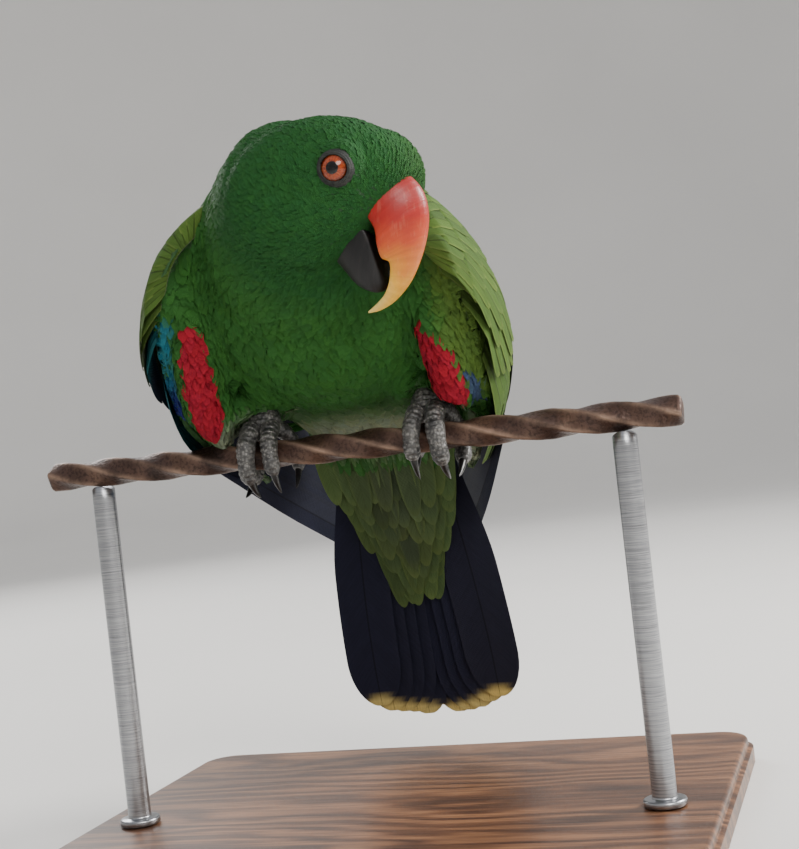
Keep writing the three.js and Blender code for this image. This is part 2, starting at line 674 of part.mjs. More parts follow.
function tarsusSolid(side, grow = 0) {
  const top = ankle(side);
  const base = barRadius + GAP + FOOT.toeRadius;
  return solid(
    limb(
      [
        [side * FOOT.x, -1.5, base - 0.4, 5.6, 3.9, 3.6],
        [side * FOOT.x, 0.5, base + 2.6, 5.7, 4.6, 4.2],
        [side * (FOOT.x + 0.4), 3.5, base + 6.5, 4.6, 4.2, 4.2],
        [top.x, top.y, top.z, 4.4, 4.3, 4.3],
      ],
      5, 10, grow, at(1, 0, 0),
    ),
  );
}

function thighSolid(side, grow = 0) {
  return solid(
    limb(
      [
        [side * 29, -4, 12, 5, 5, 5],
        [side * 29.5, 1, 15.5, 10.5, 9, 8],
        [side * 29, 9, 20, 14, 12, 10],
        [side * 27, 19, 24, 13, 12, 11],
        [side * 25, 28, 27, 8, 8, 8],
      ],
      6, 10, grow, at(1, 0, 0),
    ),
  );
}

// The bar: a square rod with eased corners, twisted along its length
function barSolid(grow = 0) {
  const rings = Array.from({ length: BAR.steps + 1 }, (_, i) => {
    const x = BAR.length * (i / BAR.steps - 0.5);
    const turn = (2 * Math.PI * x) / BAR.pitch;
    const [flat, edge] = [BAR.side / 2 + grow, BAR.side / 2 - BAR.corner];
    return Array.from({ length: 8 }, (_, k) => {
      const quarter = Math.floor(k / 2) * (Math.PI / 2) + turn;
      const along = k % 2 ? edge : -edge;
      const [c, d] = [Math.cos(quarter), Math.sin(quarter)];
      return at(x, flat * c - along * d, flat * d + along * c);
    });
  });
  return solid(loft(rings));
}

function standBase() {
  const [x, y, r] = [BASE.x / 2, BASE.y / 2, BASE.corner];
  const outline = new THREE.Shape();
  outline.absarc(x - r, y - r, r, 0, Math.PI / 2);
  outline.absarc(r - x, y - r, r, Math.PI / 2, Math.PI);
  outline.absarc(r - x, r - y, r, Math.PI, 1.5 * Math.PI);
  outline.absarc(x - r, r - y, r, 1.5 * Math.PI, 2 * Math.PI);
  const bevel = 2;
  const plate = new THREE.ExtrudeGeometry(outline, {
    depth: BASE.z - 2 * bevel,
    bevelThickness: bevel,
    bevelSize: bevel,
    bevelOffset: -bevel,
    bevelSegments: 1,
    curveSegments: 4,
  });
  return solid(plate.translate(0, 0, bevel));
}

function standRod(side) {
  const foot = BASE.z + GAP;
  const top = PERCH_HEIGHT;
  const rod = new THREE.CylinderGeometry(ROD.radius, ROD.radius, top - foot, ROD.sides);
  rod.rotateX(Math.PI / 2).translate(side * ROD.x, PERCH_Y, (top + foot) / 2);
  const notch = new THREE.CylinderGeometry(barRadius + GAP + 0.2, barRadius + GAP + 0.2, 30, 24);
  notch.rotateZ(Math.PI / 2).translate(side * ROD.x, PERCH_Y, PERCH_HEIGHT);
  return cut(solid(rod), solid(notch));
}

// Assembly. A piece is cut back by its grown neighbour, so that the two meet face to face
const GREEN = 0x1f6b2b;
const GREY = 0x3b3d3c;
const BLACK = 0x16171a;
const SIDES = [[1, "left"], [-1, "right"]];
const trunkRoom = trunk(GAP);
const skullRoom = skull(GAP);
const neckRoom = neck(GAP);
const barRoom = barSolid(GAP);
const tailRooms = [tailRoot(GAP), fanRoom(GAP)];
const toBody = (whole) => whole.translate([-BODY_SHIFT, 0, 0]).rotate([0, 0, -BODY_TURN]);
const fromBody = (whole) => whole.rotate([0, 0, BODY_TURN]).translate([BODY_SHIFT, 0, 0]);

const eyeRooms = SIDES.map(([side]) => ball(eyeCentre(side), EYE.radius + GAP));
const lidRooms = SIDES.map(([side]) => ball(eyeCentre(side), EYE.radius + 2.2));
const lids = SIDES.map(([side]) => lid(side));
addNode(bodySpan, "torso", trunk(), GREEN);
addNode(bodySpan, "head", cut(fuse([skull(), ...lids]), trunkRoom, ...eyeRooms), GREEN);
addNode(bodySpan, "neck", cut(neck(), trunkRoom, skullRoom), GREEN);
for (const [side, word] of SIDES)
  addNode(bodySpan, `eye_${word}`, ball(eyeCentre(side), EYE.radius), 0xc4661c, 0.15);
addNode(bodySpan, "bill_upper", cut(upperBill(), skullRoom, neckRoom), 0xe0602c, 0.35);
addNode(bodySpan, "bill_lower", cut(lowerBill(), skullRoom, neckRoom), BLACK, 0.4);

for (const [side, word] of SIDES) {
  const flankRoom = flank(side, GAP);
  const tarsusRoom = tarsusSolid(side, GAP);
  const legRoom = toBody(fuse([tarsusRoom, footRoom(side), barRoom]));
  const thighRoom = thighSolid(side, GAP);
  addNode(bodySpan, `flank_${word}`, cut(flank(side), trunkRoom, neckRoom, skullRoom, legRoom), 0xa3182a);
  const wingRoom = [trunkRoom, neckRoom, skullRoom, flankRoom, thighRoom, legRoom, ...tailRooms, ...lidRooms];
  addNode(bodySpan, `wing_${word}`, cut(wing(side), ...wingRoom), GREEN);
  addNode(bodySpan, `thigh_${word}`, cut(thighSolid(side), trunkRoom, flankRoom, legRoom), 0x39423a);
  const bodyRoom = fromBody(fuse([trunkRoom, flankRoom]));
  addNode(bird, `tarsus_${word}`, cut(tarsusSolid(side), bodyRoom, barRoom), GREY, 0.6);
  const rooms = [tarsusRoom, barRoom];
  for (const toe of TOES) {
    addNode(bird, `toe_${word}_${toe.name}`, cut(toeSolid(side, toe), bodyRoom, ...rooms), GREY, 0.6);
    rooms.push(toeSolid(side, toe, GAP));
  }
  for (const toe of TOES)
    addNode(bird, `claw_${word}_${toe.name}`, cut(clawSolid(side, toe), ...rooms), BLACK, 0.35);
}

const tail = fuse([tailRoot(), ...tailFeathers(), ...upperTailCoverts()]);
addNode(bodySpan, "tail", cut(tail, trunkRoom), 0x14161f);
const under = fuse([undertail(), ...undertailVanes()]);
addNode(bodySpan, "undertail_coverts", cut(under, trunkRoom, ...tailRooms), 0x4f6b2a);
addNode(bird, "perch", barSolid(), 0x4a4340, 0.55, 0.6);
addNode(stand, "stand_base", standBase(), 0x5a4636, 0.5);
addNode(stand, "stand_rod_left", standRod(1), 0x55555a, 0.35, 0.9);
addNode(stand, "stand_rod_right", standRod(-1), 0x55555a, 0.35, 0.9);

export default model;
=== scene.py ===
# The looks of the eclectus parrot on its perch: one skin with a coat of feathers over it, wings and tail
# built feather by feather, and the bill, eyes, feet, bar and stand with their finishes.
# Sizes are millimetres in the bird's own frames and become metres where a mesh is made.
import math

import bpy
import numpy as np
from mathutils import Matrix, Vector
from mathutils.kdtree import KDTree


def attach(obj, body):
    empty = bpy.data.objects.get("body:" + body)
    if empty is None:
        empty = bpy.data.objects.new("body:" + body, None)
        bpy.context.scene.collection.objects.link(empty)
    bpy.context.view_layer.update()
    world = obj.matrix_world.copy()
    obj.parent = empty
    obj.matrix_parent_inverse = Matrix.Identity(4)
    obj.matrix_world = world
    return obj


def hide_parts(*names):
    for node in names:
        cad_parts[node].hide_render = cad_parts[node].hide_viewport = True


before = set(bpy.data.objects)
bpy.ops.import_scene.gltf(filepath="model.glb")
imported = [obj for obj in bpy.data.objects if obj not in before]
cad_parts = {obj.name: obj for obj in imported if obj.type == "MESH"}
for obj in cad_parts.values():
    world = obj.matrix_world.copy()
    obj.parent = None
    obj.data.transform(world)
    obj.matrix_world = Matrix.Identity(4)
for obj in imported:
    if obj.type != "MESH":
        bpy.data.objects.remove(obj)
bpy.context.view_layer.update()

random = np.random.default_rng(20)

# Frames, as in the CAD source, but for the tail's swing, which follows the photo's outline
MM = 0.001
PERCH = np.array([0.0, -24.0, 134.0])  # middle of the bar's axis
BODY_TURN = math.radians(5)
BODY_PLACE = PERCH + [-3.0, 0.0, 0.0]
HEAD = {"place": (44.4, -55.0, 76.6), "bow": 34, "turn": 75}
EYE = {"ahead": -14.8, "up": -5.3, "side": 16.3, "radius": 5.2}
EYE_CLEAR = {"roots": 5.3, "tips": 4.75, "deep": 9, "reach": 24}  # where feathers keep off, and turn aside
TAIL = {"x": 4.5, "y": 58.0, "z": 9.0, "drop": 68, "swing": 0.4, "length": 130.0}
BAR = {"side": 7.8, "corner": 0.9, "length": 222.0, "pitch": 78.0}
BAR_RADIUS = BAR["side"] / math.sqrt(2) - BAR["corner"] * 0.35
FOOT = {"x": 29.0, "toe_radius": 3.4}
BASE = {"x": 224.0, "y": 168.0, "z": 10.0, "corner": 14.0}
ROD = {"radius": 4.0, "x": 92.0}
GAP = 0.35  # air between neighbouring pieces
FAR = 99.0  # further than any gap that matters
SIDES = {1: "left", -1: "right"}


def turn_about(axis, angle):
    return np.array(Matrix.Rotation(angle, 3, axis))


BODY_ROTATION = turn_about("Z", BODY_TURN)


def to_world(points):
    return (np.asarray(points) @ BODY_ROTATION.T + BODY_PLACE) * MM


def to_body(points):
    return (np.asarray(points) / MM - BODY_PLACE) @ BODY_ROTATION


def unit(vectors):
    vectors = np.asarray(vectors, float)
    return vectors / np.maximum(np.linalg.norm(vectors, axis=-1, keepdims=True), 1e-9)


def lengths(vectors):
    return np.linalg.norm(vectors, axis=-1)


# Angles of so many points spaced round a circle
def circle(count, offset=0):
    return 2 * math.pi * (np.arange(count) + offset) / count


def between(pair, share):
    return pair[0] + (pair[1] - pair[0]) * share


def smooth_step(low, high, value):
    share = np.clip((np.asarray(value, float) - low) / (high - low), 0, 1)
    return share * share * (3 - 2 * share)


def head_axes():
    bow, turn = math.radians(HEAD["bow"]), math.radians(HEAD["turn"])
    level = np.array([math.sin(turn), -math.cos(turn), 0])
    left = np.array([-level[1], level[0], 0])
    ahead = level * math.cos(bow) + [0, 0, -math.sin(bow)]
    return np.array([ahead, left, np.cross(ahead, left)])


HEAD_AXES = head_axes()


def in_head(points):
    return np.asarray(points, float) @ HEAD_AXES + HEAD["place"]


def to_head(points):
    return (np.asarray(points) - HEAD["place"]) @ HEAD_AXES.T


# An eye's centre in the head's frame, its outward axis, and the level and rising lines across it
def eye_frame(side):
    centre = np.array([EYE["ahead"], side * EYE["side"], EYE["up"]])
    outward = unit((0.18, side, 0.06))
    level = unit(np.array([1, 0, 0]) - outward * outward[0])
    return centre, outward, level, np.cross(level, outward) * side


# Points of the head's frame seen from an eye: the offset from its centre, the height along its axis, and
# the way out from that axis
def about_eye(head, side):
    centre, outward, _, _ = eye_frame(side)
    offset = head - centre
    height = offset @ outward
    return offset, height, offset - height[:, None] * outward


# How far points lie from the axis of the nearer eye, and their direction from that axis in the body's frame
def eye_gap(body):
    head = to_head(body)
    gap, away = np.full(len(head), FAR), np.zeros((len(head), 3))
    for side in SIDES:
        offset, height, flat = about_eye(head, side)
        apart = lengths(flat)
        near = (apart < gap) & (height > -EYE_CLEAR["deep"]) & (lengths(offset) < EYE_CLEAR["reach"])
        gap[near] = apart[near]
        away[near] = unit(flat[near]) @ HEAD_AXES
    return gap, away


def tail_axes():
    lift = turn_about("X", math.radians(90 - TAIL["drop"])) @ turn_about("Y", math.radians(TAIL["swing"]))
    return np.array([lift @ (0, 0, -1), lift @ (1, 0, 0), lift @ (0, 1, 0)])


TAIL_AXES = tail_axes()


# A point of the tail: down it from the rump, towards the bird's left, and behind its plane
def in_tail(down, side, back):
    place = np.stack(np.broadcast_arrays(down, side, back), axis=-1)
    return place @ TAIL_AXES + (TAIL["x"], TAIL["y"], TAIL["z"])


# Rows of numbers read as smooth curves: place runs from 0 to the last row
def along_rows(rows, place):
    rows = np.asarray(rows, float)
    place = np.clip(np.asarray(place, float), 0, len(rows) - 1)
    k = np.minimum(place.astype(int), len(rows) - 2)
    f = (place - k)[..., None]
    p, q = rows[np.maximum(k - 1, 0)], rows[k]
    r, s = rows[k + 1], rows[np.minimum(k + 2, len(rows) - 1)]
    bend = 2 * p - 5 * q + 4 * r - s
    twist = 3 * q - p - 3 * r + s
    return 0.5 * (2 * q + (r - p) * f + bend * f * f + twist * f**3)


def smoothed(rows, count):
    return along_rows(rows, np.linspace(0, len(rows) - 1, count))


# A closed smooth curve through corners, as count points
def closed_curve(corners, count):
    corners = np.asarray(corners, float)
    rows = np.vstack([corners[-1:], corners, corners[:2]])
    return along_rows(rows, 1 + np.arange(count) * len(corners) / count)


# A mesh whose faces all have the same number of corners
def new_object(name, points, faces):
    mesh = bpy.data.meshes.new(name)
    points = np.asarray(points, float).reshape(-1, 3)
    count, corners = faces.shape
    mesh.vertices.add(len(points))
    mesh.vertices.foreach_set("co", points.ravel())
    mesh.loops.add(faces.size)
    mesh.loops.foreach_set("vertex_index", faces.ravel())
    mesh.polygons.add(count)
    mesh.polygons.foreach_set("loop_start", np.arange(count) * corners)
    mesh.polygons.foreach_set("use_smooth", np.ones(count, bool))
    mesh.update(calc_edges=True)
    thing = bpy.data.objects.new(name, mesh)
    bpy.context.scene.collection.objects.link(thing)
    return thing


def add_values(thing, name, values, kind="FLOAT"):
    field = {"FLOAT": "value", "FLOAT_VECTOR": "vector", "FLOAT_COLOR": "color"}[kind]
    layer = thing.data.attributes.new(name, kind, "POINT")
    layer.data.foreach_set(field, np.asarray(values, np.float32).ravel())


def add_colour(thing, name, colours):
    colours = np.asarray(colours, float).reshape(-1, 3)
    add_values(thing, name, np.hstack([colours, np.ones((len(colours), 1))]), "FLOAT_COLOR")


def add_bake_map(thing, places):
    layer = thing.data.uv_layers.new(name="OFBake")
    corner = np.empty(len(thing.data.loops), int)
    thing.data.loops.foreach_get("vertex_index", corner)
    layer.data.foreach_set("uv", np.asarray(places, np.float32).reshape(-1, 2)[corner].ravel())


def applied(thing):
    deps = bpy.context.evaluated_depsgraph_get()
    mesh = bpy.data.meshes.new_from_object(thing.evaluated_get(deps))
    thing.modifiers.clear()
    old = thing.data
    thing.data = mesh
    bpy.data.meshes.remove(old)
    mesh.name = thing.name
    return thing


def point_values(mesh, field):
    values = np.empty(len(mesh.vertices) * 3)
    mesh.vertices.foreach_get(field, values)
    return values.reshape(-1, 3)


def coordinates(mesh):
    return point_values(mesh, "co")


def point_normals(mesh):
    return point_values(mesh, "normal")


def move_points(mesh, points):
    mesh.vertices.foreach_set("co", points.ravel())
    mesh.update()


# The mesh's triangles as numbers of points and as numbers of loops
def triangles_of(mesh):
    mesh.calc_loop_triangles()
    found = []
    for field in ("vertices", "loops"):
        corners = np.empty(len(mesh.loop_triangles) * 3, int)
        mesh.loop_triangles.foreach_get(field, corners)
        found.append(corners.reshape(-1, 3))
    return found


def tree_of(points):
    tree = KDTree(len(points))
    for i, place in enumerate(points):
        tree.insert(place, i)
    tree.balance()
    return tree


# Triangles between rings of the same number of points, and a flat fan at each end
def tube_faces(rings, sides):
    i, k = np.meshgrid(np.arange(rings - 1), np.arange(sides), indexing="ij")
    a = i * sides + k
    b = i * sides + (k + 1) % sides
    quads = np.stack([a, b, b + sides, a + sides], axis=-1).reshape(-1, 4)
    k = np.arange(sides)
    after = (k + 1) % sides
    top = (rings - 1) * sides
    start = np.stack([after, k, np.full(sides, rings * sides)], axis=-1)
    end = np.stack([top + k, top + after, np.full(sides, rings * sides + 1)], axis=-1)
    return np.vstack([quads[:, [0, 1, 2]], quads[:, [0, 2, 3]], start, end])


def tube(name, rings):
    rings = np.asarray(rings, float)
    points = np.vstack([rings.reshape(-1, 3), rings[0].mean(0), rings[-1].mean(0)])
    return new_object(name, points, tube_faces(*rings.shape[:2]))


OVAL_POWER = {"above": 0.95, "below": 0.94}  # under 1 an oval is fuller than an ellipse


def oval_ring(centre, sideways, up, wide, high, low, sides):
    angle = circle(sides, 0.5)
    c, s = np.cos(angle), np.sin(angle)
    power = np.where(s > 0, OVAL_POWER["above"], OVAL_POWER["below"])
    across = np.sign(c) * np.abs(c) ** power * wide
    rise = np.sign(s) * np.abs(s) ** power * np.where(s > 0, high, low)
    return np.asarray(centre) + across[:, None] * sideways + rise[:, None] * up


# The wing's surface for side 1 (left) or -1: upper edge, widest line and lower edge at each section from
# the shoulder to the tips of the primaries, and its thickness
WING = [
    (34, -33, 74, 41, -41, 66, 45, -40, 56, 6),
    (25, -12, 87, 47, -22, 66, 54, -28, 37, 10),
    (16, 14, 90, 52.5, 2, 54, 53, -11, 13, 11),
    (10, 39, 76, 50.5, 28, 30, 45.5, 17, -7, 10),
    (7.5, 64, 53, 41, 56, 5, 37, 50, -20, 6.5),
    (5, 93, 18, 30, 90, -20, 29, 88, -35, 3.5),
    (3.5, 119, -20, 17, 120, -42, 18, 115, -53, 3),
    (2.6, 142, -56, 7, 146, -62, 8, 146, -68, 2.2),
]
# How far out the shoulder, the middle and the far part of each wing lie, as shares of these rows, how much
# its far part is raised, and where along the wing these changes run
WING_SPREAD = {1: (0.99, 1.062, 0.9), -1: (0.95, 1.06, 1.02)}
WING_RAISE = {1: 0, -1: 5.0}
WING_RUN = {"middle": 0.35, "spread": 0.3, "raise": 0.4}


def wing_points(side, s, t):
    s, t = np.broadcast_arrays(np.asarray(s, float), np.asarray(t, float))
    row = along_rows(WING, np.clip(s, 0, 1) * (len(WING) - 1))
    upper, widest, lower = row[..., 0:3], row[..., 3:6], row[..., 6:9]
    control = 2 * widest - 0.5 * upper - 0.5 * lower
    t = t[..., None]
    point = upper * (1 - t) ** 2 + control * 2 * t * (1 - t) + lower * t * t
    near, middle, far = WING_SPREAD[side]
    beyond = s - WING_RUN["middle"]
    spread = near + (middle - near) * np.clip(s / WING_RUN["middle"], 0, 1)
    spread = spread + (far - middle) * np.clip(beyond / WING_RUN["spread"], 0, 1)
    point[..., 0] *= side * spread
    point[..., 2] += WING_RAISE[side] * np.clip(beyond / WING_RUN["raise"], 0, 1)
    return point, row[..., 9]


def wing_frames(side, s, t):
    step = 0.01
    point, thick = wing_points(side, s, t)
    along = wing_points(side, np.minimum(s + step, 1), t)[0] - wing_points(side, s - step, t)[0]
    across = (wing_points(side, s, t + step)[0] - wing_points(side, s, t - step)[0]) / (2 * step)
    normal = unit(np.cross(across, along) * side)
    return point, normal, across, thick


# The flesh under a wing: where it ends and starts to thin along the wing, how deep it lies under the
# feathers' surface, its least thickness, and how much more each side has
WING_CORE = {"end": 0.55, "thin_from": 0.4, "deep": 2.6, "least": 5.2, "more": {1: 3.4, -1: 0}}


def wing_core(side):
    end, thin_from = WING_CORE["end"], WING_CORE["thin_from"]
    rings = []
    for s in np.linspace(0, end, 22):
        t = np.linspace(0.02, 0.98, 15)
        point, normal, _, thick = wing_frames(side, s, t)
        taper = 0.25 + 0.75 * np.sin(math.pi * (0.08 + 0.84 * (t - 0.02) / 0.96))
        fade = 1 - 0.7 * max(0, (s - thin_from) / (end - thin_from))
        inset = 1.2 * (taper - 1) - WING_CORE["deep"] * np.clip((s - 0.08) * 8, 0, 1)
        depth = np.maximum(WING_CORE["least"], thick * fade * taper) + WING_CORE["more"][side]
        outer, inner = point + normal * inset[:, None], point - normal * depth[:, None]
        rings.append(np.vstack([outer, inner[::-1]]))
    return np.array(rings)


# Fills at the tail's root and under it. Each row: down the tail, behind its plane, half width, and how far
# it reaches to the back and to the front
TAIL_CORES = [
    [(-4, 0, 15, 9, 8), (8, 0, 20, 9, 8.5), (22, 0, 21.5, 7.5, 7), (38, 0, 19, 5, 5), (50, 0, 14, 3, 3)],
    [(-16, -16, 21, 7, 7), (-4, -15.5, 26, 7.6, 7.6), (10, -13.6, 26, 6, 6), (26, -11, 21, 3.6, 3.6),
     (42, -8.6, 14, 1.6, 1.6)],
]
# Fills for the hollow between a shoulder, the neck and the flank, where feathers lie over the wing's edge.
# Each row: outwards, y, z and radius
SHOULDER_CORES = {
    1: [(39.2, -25, 66, 4), (42.2, -26, 59, 6.2), (43.7, -25.5, 51, 6.8), (44.7, -23.5, 44, 6),
        (46.2, -20, 38, 4), (47, -16.5, 30, 4), (47.5, -11, 21, 3.2)],
    -1: [(37, -25, 66, 4), (40, -26, 59, 6.2), (41.5, -25.5, 51, 6.8), (42.5, -23.5, 44, 6),
         (44, -20, 38, 4)],
}
CORE_RINGS = 14
# A fill on the left of the forehead, where its feathers stand out beside the bill's root
BROW_CORE = {"root": (-12.2, 5.0, 0.6), "tip": (-7.2, 6.5, -4.3), "radius": 11.4, "rings": 16}


def tail_core(rows):
    rings = []
    for down, behind, wide, back, front in smoothed(rows, CORE_RINGS):
        rings.append(oval_ring(in_tail(down, 0, behind), TAIL_AXES[1], TAIL_AXES[2], wide, back, front, 24))
    return np.array(rings)


def shoulder_core(side):
    across, back = np.array([side, 0, 0]), np.array([0, 1, 0])
    rings = []
    for x, y, z, radius in smoothed(SHOULDER_CORES[side], CORE_RINGS):
        rings.append(oval_ring((side * x, y, z), across, back, radius, radius, radius, 20))
    return np.array(rings)


def brow_core():
    root, radius = np.array(BROW_CORE["root"]), BROW_CORE["radius"]
    reach = np.array(BROW_CORE["tip"]) - root
    along = unit(reach)
    sideways = unit(np.cross(along, (0, 1, 0)))
    rings = []
    for share in np.linspace(0.02, 0.98, BROW_CORE["rings"]):
        centre = root + reach * share - along * radius * math.cos(math.pi * share)
        wide = radius * math.sin(math.pi * share)
        rings.append(in_head(oval_ring(centre, sideways, np.cross(sideways, along), wide, wide, wide, 24)))
    return np.array(rings)


# The skin: the nodes of flesh as one closed surface, drawn in by the depth of the coat
FLESH = ["torso", "head", "neck", "flank_left", "flank_right", "thigh_left", "thigh_right"]
BRIDGE = 0.45  # each piece of flesh is swollen by this before they are joined, to close the gaps
VOXEL = 1.3
SOFTENED = {"joined": 14, "drawn_in": 6}  # rounds of smoothing
CREASES = [(32, -4, 22, 19), (-32, -4, 22, 19), (38.5, -28, 46, 12)]  # places to even out, and how far round
CREASE_ROUNDS = 80
SKULL = (-26, 0, -18)  # middle of the skull in the head's frame
HEAD_MIDDLE = (-24, 0, -18)  # middle of the head with its coat
FACE_MIDDLE = (-3, 0, -14)
BILL_ROOT = (-2, 0, -14)
BILL_MIDDLE = (4, 0, -13)
HEAD_EDGE = {"depth": (26, 40), "lie": (30, 46), "colour": (26, 44)}  # where the head's coat gives way
BILL_REACH = 12
COAT_DEPTH = {"body": 2.3, "less_on_head": 1.2, "less_by_bill": 0.6, "less_on_thighs": 0.7}


def coat_depth(body):
    head = to_head(body)
    by_bill = 1 - smooth_step(2, 26, lengths(head - BILL_ROOT) - BILL_REACH)
    on_head = 1 - smooth_step(*HEAD_EDGE["depth"], lengths(head - SKULL))
    depth = COAT_DEPTH["body"] - COAT_DEPTH["less_on_head"] * on_head
    depth = depth - COAT_DEPTH["less_by_bill"] * by_bill * on_head
    low = smooth_step(22, 10, body[:, 2]) * smooth_step(18, 24, np.abs(body[:, 0]))
    return depth - COAT_DEPTH["less_on_thighs"] * low


def soften(thing, rounds):
    modifier = thing.modifiers.new("soften", "SMOOTH")
    modifier.factor = 0.5
    modifier.iterations = rounds


def build_skin():
    cores = [wing_core(1), wing_core(-1), shoulder_core(1), shoulder_core(-1)]
    cores += [tail_core(rows) for rows in TAIL_CORES] + [brow_core()]
    lumps = [tube("lump", to_world(rings)) for rings in cores]
    points, faces, start = [], [], 0
    for piece in [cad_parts[node] for node in (*FLESH, "eye_left", "eye_right")] + lumps:
        swell = 0 if piece in lumps else BRIDGE
        points.append(coordinates(piece.data) + point_normals(piece.data) * swell * MM)
        faces.append(triangles_of(piece.data)[0] + start)
        start += len(piece.data.vertices)
    for lump in lumps:
        bpy.data.objects.remove(lump)
    skin = new_object("skin", np.vstack(points), np.vstack(faces))
    remesh = skin.modifiers.new("remesh", "REMESH")
    remesh.mode = "VOXEL"
    remesh.voxel_size = VOXEL * MM
    remesh.use_smooth_shade = True
    soften(skin, SOFTENED["joined"])
    applied(skin)
    depth = (coat_depth(to_body(evened_creases(skin.data))) + BRIDGE) * MM
    move_points(skin.data, coordinates(skin.data) - point_normals(skin.data) * depth[:, None])
    soften(skin, SOFTENED["drawn_in"])
    applied(skin)
    move_points(skin.data, fitted_to_eyes(coordinates(skin.data)))
    return skin


def evened_creases(mesh):
    points = coordinates(mesh)
    even = blurred(mesh, points, CREASE_ROUNDS)
    share = np.zeros(len(points))
    for *place, reach in CREASES:
        share = np.maximum(share, smooth_step(reach, 0.45 * reach, lengths(to_body(points) - place)))
    points = points + (even - points) * share[:, None]
    move_points(mesh, points)
    return points


# Least and most height of the skin over an eye's middle, each by distances from the eye's axis, and the
# space in which they hold
EYE_FLOOR = (4.9, 5, 5.6, 7, 9), (-FAR, 2.4, 2.0, 0.6, -3)
EYE_CEILING = (0, 3, 4.2, 5, 5.6, 7, 9), (4.2, 3.4, 2.2, 2.6, 2.4, 2.2, 9)
EYE_PIT = {"radius": 9, "low": -5, "high": 9}


# Points of the skin brought below an eye's surface, and up to the foot of its lids round it
def fitted_to_eyes(points):
    head = to_head(to_body(points))
    for side in SIDES:
        _, height, flat = about_eye(head, side)
        apart = lengths(flat)
        near = (apart < EYE_PIT["radius"]) & (height > EYE_PIT["low"]) & (height < EYE_PIT["high"])
        fitted = np.clip(height, np.interp(apart, *EYE_FLOOR), np.interp(apart, *EYE_CEILING))
        head = head + np.where(near, fitted - height, 0)[:, None] * eye_frame(side)[1]
    return to_world(in_head(head))


BAKE_MAP = {"angle": 72, "margin": 0.002}


def unwrap(thing):
    bpy.ops.object.select_all(action="DESELECT")
    bpy.context.view_layer.objects.active = thing
    thing.select_set(True)
    thing.data.uv_layers.new(name="OFBake")
    bpy.ops.object.mode_set(mode="EDIT")
    bpy.ops.mesh.select_all(action="SELECT")
    bpy.ops.uv.smart_project(angle_limit=math.radians(BAKE_MAP["angle"]), island_margin=BAKE_MAP["margin"])
    bpy.ops.object.mode_set(mode="OBJECT")


SIZE_BLUR = 30  # rounds that even out the sizes of the feathers from one part of the coat to the next
TRIES = 6  # points tried for each feather that is kept
COAT_ROOT = 0.25  # how deep the feathers' roots lie in the skin
# Where the feathers point: away from the bill on the head, and on the body along these guides, each x, y, z
# and its direction. A guide off the middle has its mirror image on the other side
MIRRORED_GUIDES = [
    (0, -60, 40, 0, 0.1, -1),
    (30, -52, 40, 0.25, 0.1, -1),
    (0, -48, 20, 0, 0.4, -0.9),
    (0, -25, 2, 0, 0.9, -0.4),
    (0, 10, -10, 0, 0.9, -0.35),
    (0, 40, -18, 0, 0.75, -0.65),
    (0, 62, -22, 0, 0.45, -0.9),
    (0, -30, 102, 0, 1, 0.05),
    (0, -8, 100, 0, 1, -0.15),
    (0, 30, 82, 0, 0.85, -0.55),
    (0, 60, 42, 0, 0.65, -0.75),
    (0, 74, 10, 0, 0.4, -0.92),
    (42, 0, 62, 0.1, 0.75, -0.6),
    (38, 32, 32, 0, 0.8, -0.6),
    (40, -20, 35, 0.1, 0.25, -0.95),
    (41, 2, 8, 0, 0.45, -0.9),
    (29, 8, 14, 0, -0.15, -1),
]
GUIDES = [
    (x * side, y, z, across * side, back, up)
    for x, y, z, across, back, up in MIRRORED_GUIDES
    for side in ((1, -1) if x else (1,))
]
GUIDES = np.array([*GUIDES, (26, -42, 78, 0.3, 0.5, -0.8), (-26, -42, 78, -0.5, 0.6, -0.6)])
GUIDE_REACH = 30  # evens out the guides' weights near each of them
EYE_TURN = 20  # how far from an eye's axis the feathers still turn aside


def lie_of_coat(body, normal):
    apart = lengths(body[:, None] - GUIDES[None, :, :3])
    weight = 1 / (apart**3 + GUIDE_REACH)
    flow = unit(weight @ unit(GUIDES[:, 3:]))
    head = to_head(body)
    head_share = 1 - smooth_step(*HEAD_EDGE["lie"], lengths(head - HEAD_MIDDLE))
    from_bill = unit(head - BILL_MIDDLE) @ HEAD_AXES
    flow = flow * (1 - head_share)[:, None] + from_bill * head_share[:, None]
    flow = unit(flow - normal * np.sum(flow * normal, axis=-1)[:, None])
    gap, away = eye_gap(body)
    bend = np.where(gap < EYE_TURN, np.minimum((EYE_CLEAR["roots"] / gap) ** 2, 1), 0)[:, None]
    flow = flow + bend * (flow - 2 * away * np.sum(flow * away, axis=-1)[:, None])
    return unit(flow - normal * np.sum(flow * normal, axis=-1)[:, None])


# Colours of the plumage, as linear red, green and blue from screen values
def screen(red, green, blue):
    value = np.array([red, green, blue], float) / 255
    return np.where(value <= 0.04045, value / 12.92, ((value + 0.055) / 1.055) ** 2.4)


# Spacing of the barbs, share of the paler fringe, and share of the darkening at the root, which is partly
# painted shade
BARB = {"apart": 0.5, "fringe": 0.4, "root": 0.5}
GREEN = screen(48, 98, 40)
HEAD_GREEN = screen(36, 88, 40)
BACK_GREEN = screen(42, 96, 36)
OLIVE = screen(98, 118, 58)
VENT_GREEN = screen(76, 98, 58)
VENT_GREY = screen(66, 76, 58)
DOWN_GREY = screen(104, 116, 90)
PALE_DOWN = screen(150, 156, 136)
BLUE = screen(26, 34, 104)
DUSK_BLUE = screen(62, 80, 112)
TURQUOISE = screen(38, 112, 126)
RED = screen(156, 26, 46)
